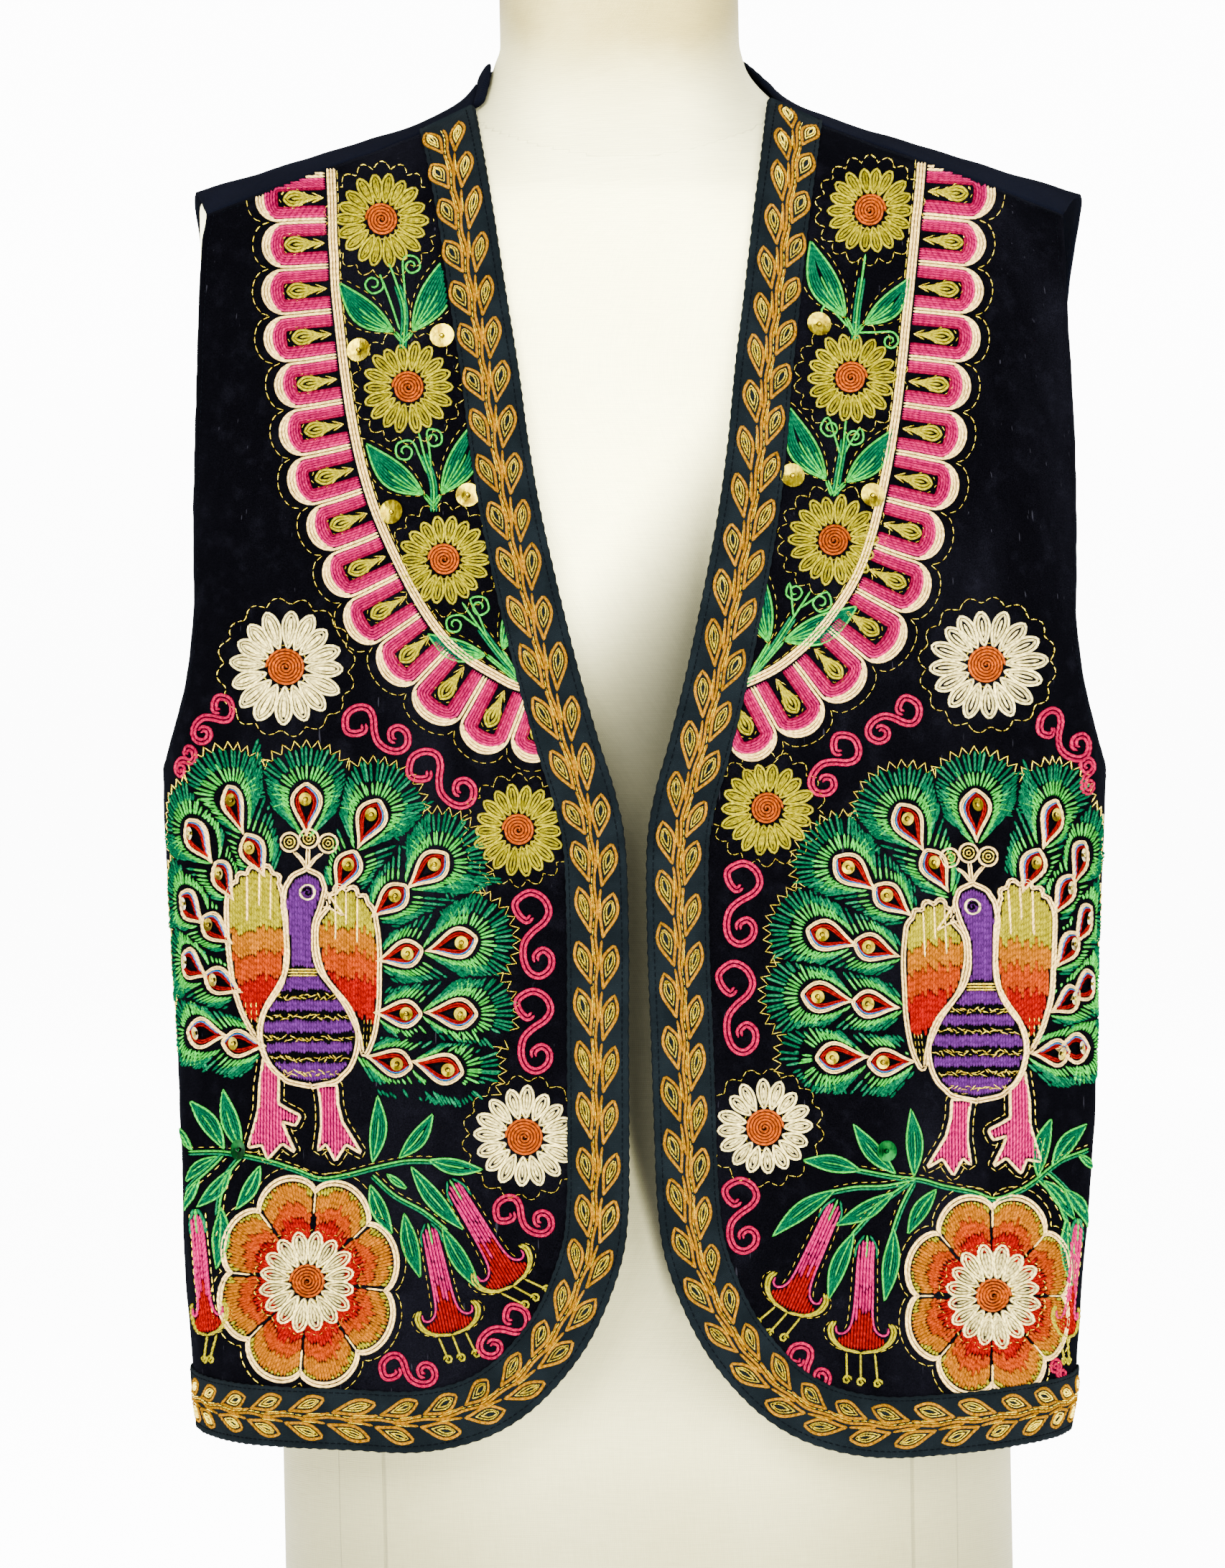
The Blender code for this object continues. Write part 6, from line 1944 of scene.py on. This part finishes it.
# Cap, end, half width and pods of each bell flower.
BELLS = {
    "right": (((76.6, 115.2), (51.2, 72.5), 11.5, ((46, 64.5), (41.8, 67.5), (36.9, 71))),
              ((86.3, 97), (76.6, 52.1), 11.5, ((78.2, 41.7), (72.7, 42.4), (66.5, 44.1))),
              ((182.8, 102.9), (180, 52.1), 9.0, ((179.3, 41.7), (183, 41.7)))),
    "left": (((83.7, 106.8), (63.6, 61.5), 11.5, ((50.5, 57.3), (55.7, 52.8), (61.9, 50.8))),
             ((96.7, 91.8), (94.1, 44.5), 11.8, ((88.3, 33.3), (94.1, 32.3), (101.3, 31.6))),
             ((187.1, 99), (184.8, 51), 9.0, ((183, 41), (187, 41)))),
}
BRANCH_STEMS = {
    "right": (((186, 129), (173.5, 128.9), (164.4, 127.6), (152.7, 125), (142.3, 121.6), (131.8, 117.8),
               (121.4, 119.1), (108.4, 122.4), (95.4, 125), (83, 125)),
              ((109.7, 119), (100.6, 110.7), (88.9, 104.2), (78.5, 96)),
              ((164, 127), (170, 119), (173, 110), (174, 102)), ((172, 127), (180, 119), (188, 112))),
    "left": (((192, 130.2), (178, 125), (166.3, 116.5), (159.8, 112.6), (150.1, 109.2), (141.6, 112),
              (128.6, 114.6), (119.5, 117.2), (108, 118.5), (92, 121.5)),
             ((117, 117), (104, 114.5), (92, 114), (81, 112)), ((114, 116), (102, 107), (90, 94)),
             ((116, 116), (111, 106), (107, 95)), ((168, 117), (176, 109), (181.5, 99)),
             ((172, 120), (182, 112), (190, 104))),
}
BRANCH_LEAVES = {
    "right": (((87, 125.4), (63.5, 121.1), 1.0), ((110, 123.5), (107.8, 152.5), 1.5),
              ((99.3, 125.5), (84.4, 145), 1.5),
              ((94.1, 123), (71.3, 95.7), 1.5), ((111, 115.5), (101.3, 93.8), 1.0),
              ((96.7, 103.6), (89.6, 75.5), 1.0),
              ((81, 97.8), (64.2, 70.3), 1.0), ((104.5, 119.8), (95, 112.9), 0.3),
              ((156.6, 123.4), (167, 104.2), -1.0),
              ((168.3, 122), (182.6, 105.5), -1.0), ((174, 127), (188.5, 116), 1.0),
              ((173, 106), (174.8, 79.5), -1.0),
              ((171.5, 129.1), (186.5, 150.5), 1.5), ((164.4, 128.2), (172.2, 155.1), -1.0),
              ((181, 118), (193, 104), -1.0), ((184, 129), (196, 139), 1.0)),
    "left": (((94.8, 120.5), (69.4, 125), -1.0), ((109.1, 119.1), (90.9, 140.6), 1.5),
             ((116.2, 117.5), (115, 147), -1.0),
             ((84, 113), (57, 93.1), -1.5), ((108.4, 112), (83, 97.7), 1.0),
             ((91.5, 95.5), (80.5, 66.4), -1.0),
             ((107.8, 97.4), (103.9, 65.8), 1.0), ((126, 113.5), (113.6, 93.8), -1.0),
             ((168, 117.5), (174.1, 143), 1.5),
             ((174.1, 122), (191, 140.6), 1.5), ((170, 117), (186, 100), 1.0),
             ((181.5, 101.5), (185.8, 71.6), -1.0),
             ((180, 113.5), (196, 97), 1.0), ((186, 128), (199, 122), -0.5)),
}
SEQUINS = {"right": ((115.5, 463.5), (80.7, 469.5), (102, 396), (69.9, 402.9)),
           "left": ((76.5, 474.3), (65.4, 411), (99, 402.9))}
GREEN_SEQUINS = {"right": (165, 129.5), "left": (104.5, 128.9)}


VINE_SHIFT = {"right": 0.10, "left": -0.42}     # how far the leaves by the opening lie above their pair
EYE_SEQUIN = 2.8
LARGE_SEQUIN, GREEN_SEQUIN = 5.2, 4.4
ON_VELVET, OVER_WOOL = 0.3, 1.0
SUNFLOWER, DAISY = (7.4, 18, OLIVE, 1.0), (8.6, 16, WHITE, 0.95, 4.0)


def embroider(word, side):
    """Every piece of needlework of one front, in the order it is sewn."""
    chart = Chart(side)
    band = BandChart(chart)
    gold = Needlework(chart)

    growing, glint = Needlework(band, RIBBON_TOP / MM), Needlework(band, RIBBON_TOP / MM)
    vine(growing, glint, band, VINE_SHIFT[word])
    growing.sew(f"vine_{word}", wool, "wool_thread")
    glint.sew(f"vine_gold_{word}", gold_thread, "gold_thread")

    def scalloped(work):
        scallops(work, gold, SCALLOP_LINES[word], SCALLOP_START[word], SCALLOP_COUNT[word])

    def flowered(work):
        for places, kind in ((SUNFLOWERS, SUNFLOWER), (DAISIES, DAISY)):
            for u, v, radius in places[word]:
                flower(work, gold, (u, v), radius, *kind)

    def hemmed(work):
        u, v, radius, turn = GREAT_FLOWERS[word]
        great_flower(work, gold, (u, v), radius, 19.6, 8.0, turn)
        for parts in BELLS[word]:
            bell(work, gold, *parts)

    def leafed(work):
        branch(work, gold, BRANCH_STEMS[word], BRANCH_LEAVES[word])
        for parts in LEAF_FANS[word]:
            leaf_fan(work, gold, *parts)
        for first, second in SCROLLS[word]:
            scroll(work, side, first, second)

    def feathered(work):
        *foot, lean = BIRD_FEET[word]
        peacock(work, gold, foot, lean, FEATHERS[word])

    for name, draw in (("scallops", scalloped), ("flowers", flowered), ("hem_flowers", hemmed),
                       ("leaves", leafed), ("peacock", feathered)):
        work = Needlework(chart)
        draw(work)
        work.sew(f"{name}_{word}", wool, "wool_thread")
    gold.sew(f"gold_{word}", gold_thread, "gold_thread")

    foils = [(u, v, LARGE_SEQUIN, ON_VELVET) for u, v in SEQUINS[word]]
    foils += [(*eye, EYE_SEQUIN, OVER_WOOL) for pair in FEATHERS[word] for eye in pair if eye]
    sequins(f"sequins_{word}", chart, foils, gold_foil)
    sequins(f"green_sequin_{word}", chart, [(*GREEN_SEQUINS[word], GREEN_SEQUIN, OVER_WOOL)], green_foil)
    topstitch(word, chart, band)


for word, side in SIDES:
    embroider(word, side)


# ---- room, light and camera
ROOM_HALF, ROOM_NEAR, ROOM_TOP = 13.0, (-12.0, 0.0), (8.0, 10.5)
COVE_FOOT, COVE = 6.8, 1.2  # where the floor begins to turn up, and the radius of the turn
PAINT_GLOW, SKY_GLOW = 6.5, 2.6
WHITE_LIGHT = (1.0, 1.0, 1.0, 1.0)


def room():
    """A plain pale floor that turns up into the wall behind."""
    turns = np.linspace(0, math.pi / 2, 16)
    bend = [(COVE_FOOT + COVE * math.sin(t), COVE - COVE * math.cos(t)) for t in turns]
    profile = [ROOM_NEAR, *bend, ROOM_TOP]
    count = len(profile)
    faces = [(k, k + count, k + count + 1, k + 1) for k in range(count - 1)]
    mesh = new_mesh("room", [(x, y, z) for x in (-ROOM_HALF, ROOM_HALF) for y, z in profile], [faces])
    paint = Finish("pale paint", roughness=0.9, emission_color=WHITE_LIGHT, emission_strength=PAINT_GLOW)
    mottled = paint.noise(paint.place(), 3.0)
    paint.drive("Base Color", paint.mix(mottled, (0.93, 0.93, 0.93), (0.95, 0.95, 0.95)))
    mesh.materials.append(paint.material)
    new_object("room", mesh)


def light(name, place, aim, size, watts):
    lamp = bpy.data.lights.new(name, "AREA")
    lamp.size, lamp.energy = size, watts
    made = new_object(name, lamp)
    made.location = place
    made.rotation_euler = (Vector(aim) - Vector(place)).to_track_quat("-Z", "Y").to_euler()


def camera():
    seen = bpy.data.cameras.new("camera")
    seen.sensor_fit, seen.sensor_width = "HORIZONTAL", SENSOR
    seen.lens = SENSOR * LENS_REACH / (VIEW_WIDTH * METRES_A_POINT)
    seen.clip_start, seen.clip_end = 0.05, 50.0
    made = new_object("camera", seen)
    made.location = CAMERA_FROM
    made.rotation_euler = (math.pi / 2, 0.0, 0.0)
    bpy.context.scene.camera = made


room()
light("key", (-1.1, -2.6, 1.9), (0.0, 0.0, 0.42), 1.6, 420)
light("fill", (1.5, -2.4, 1.2), (0.0, 0.0, 0.40), 1.8, 300)
light("top", (0.0, 0.3, 2.6), (0.0, 0.0, 0.4), 2.0, 160)
world = bpy.data.worlds.new("studio")
world.use_nodes = True
sky = world.node_tree.nodes["Background"].inputs
sky["Color"].default_value, sky["Strength"].default_value = WHITE_LIGHT, SKY_GLOW
bpy.context.scene.world = world
camera()
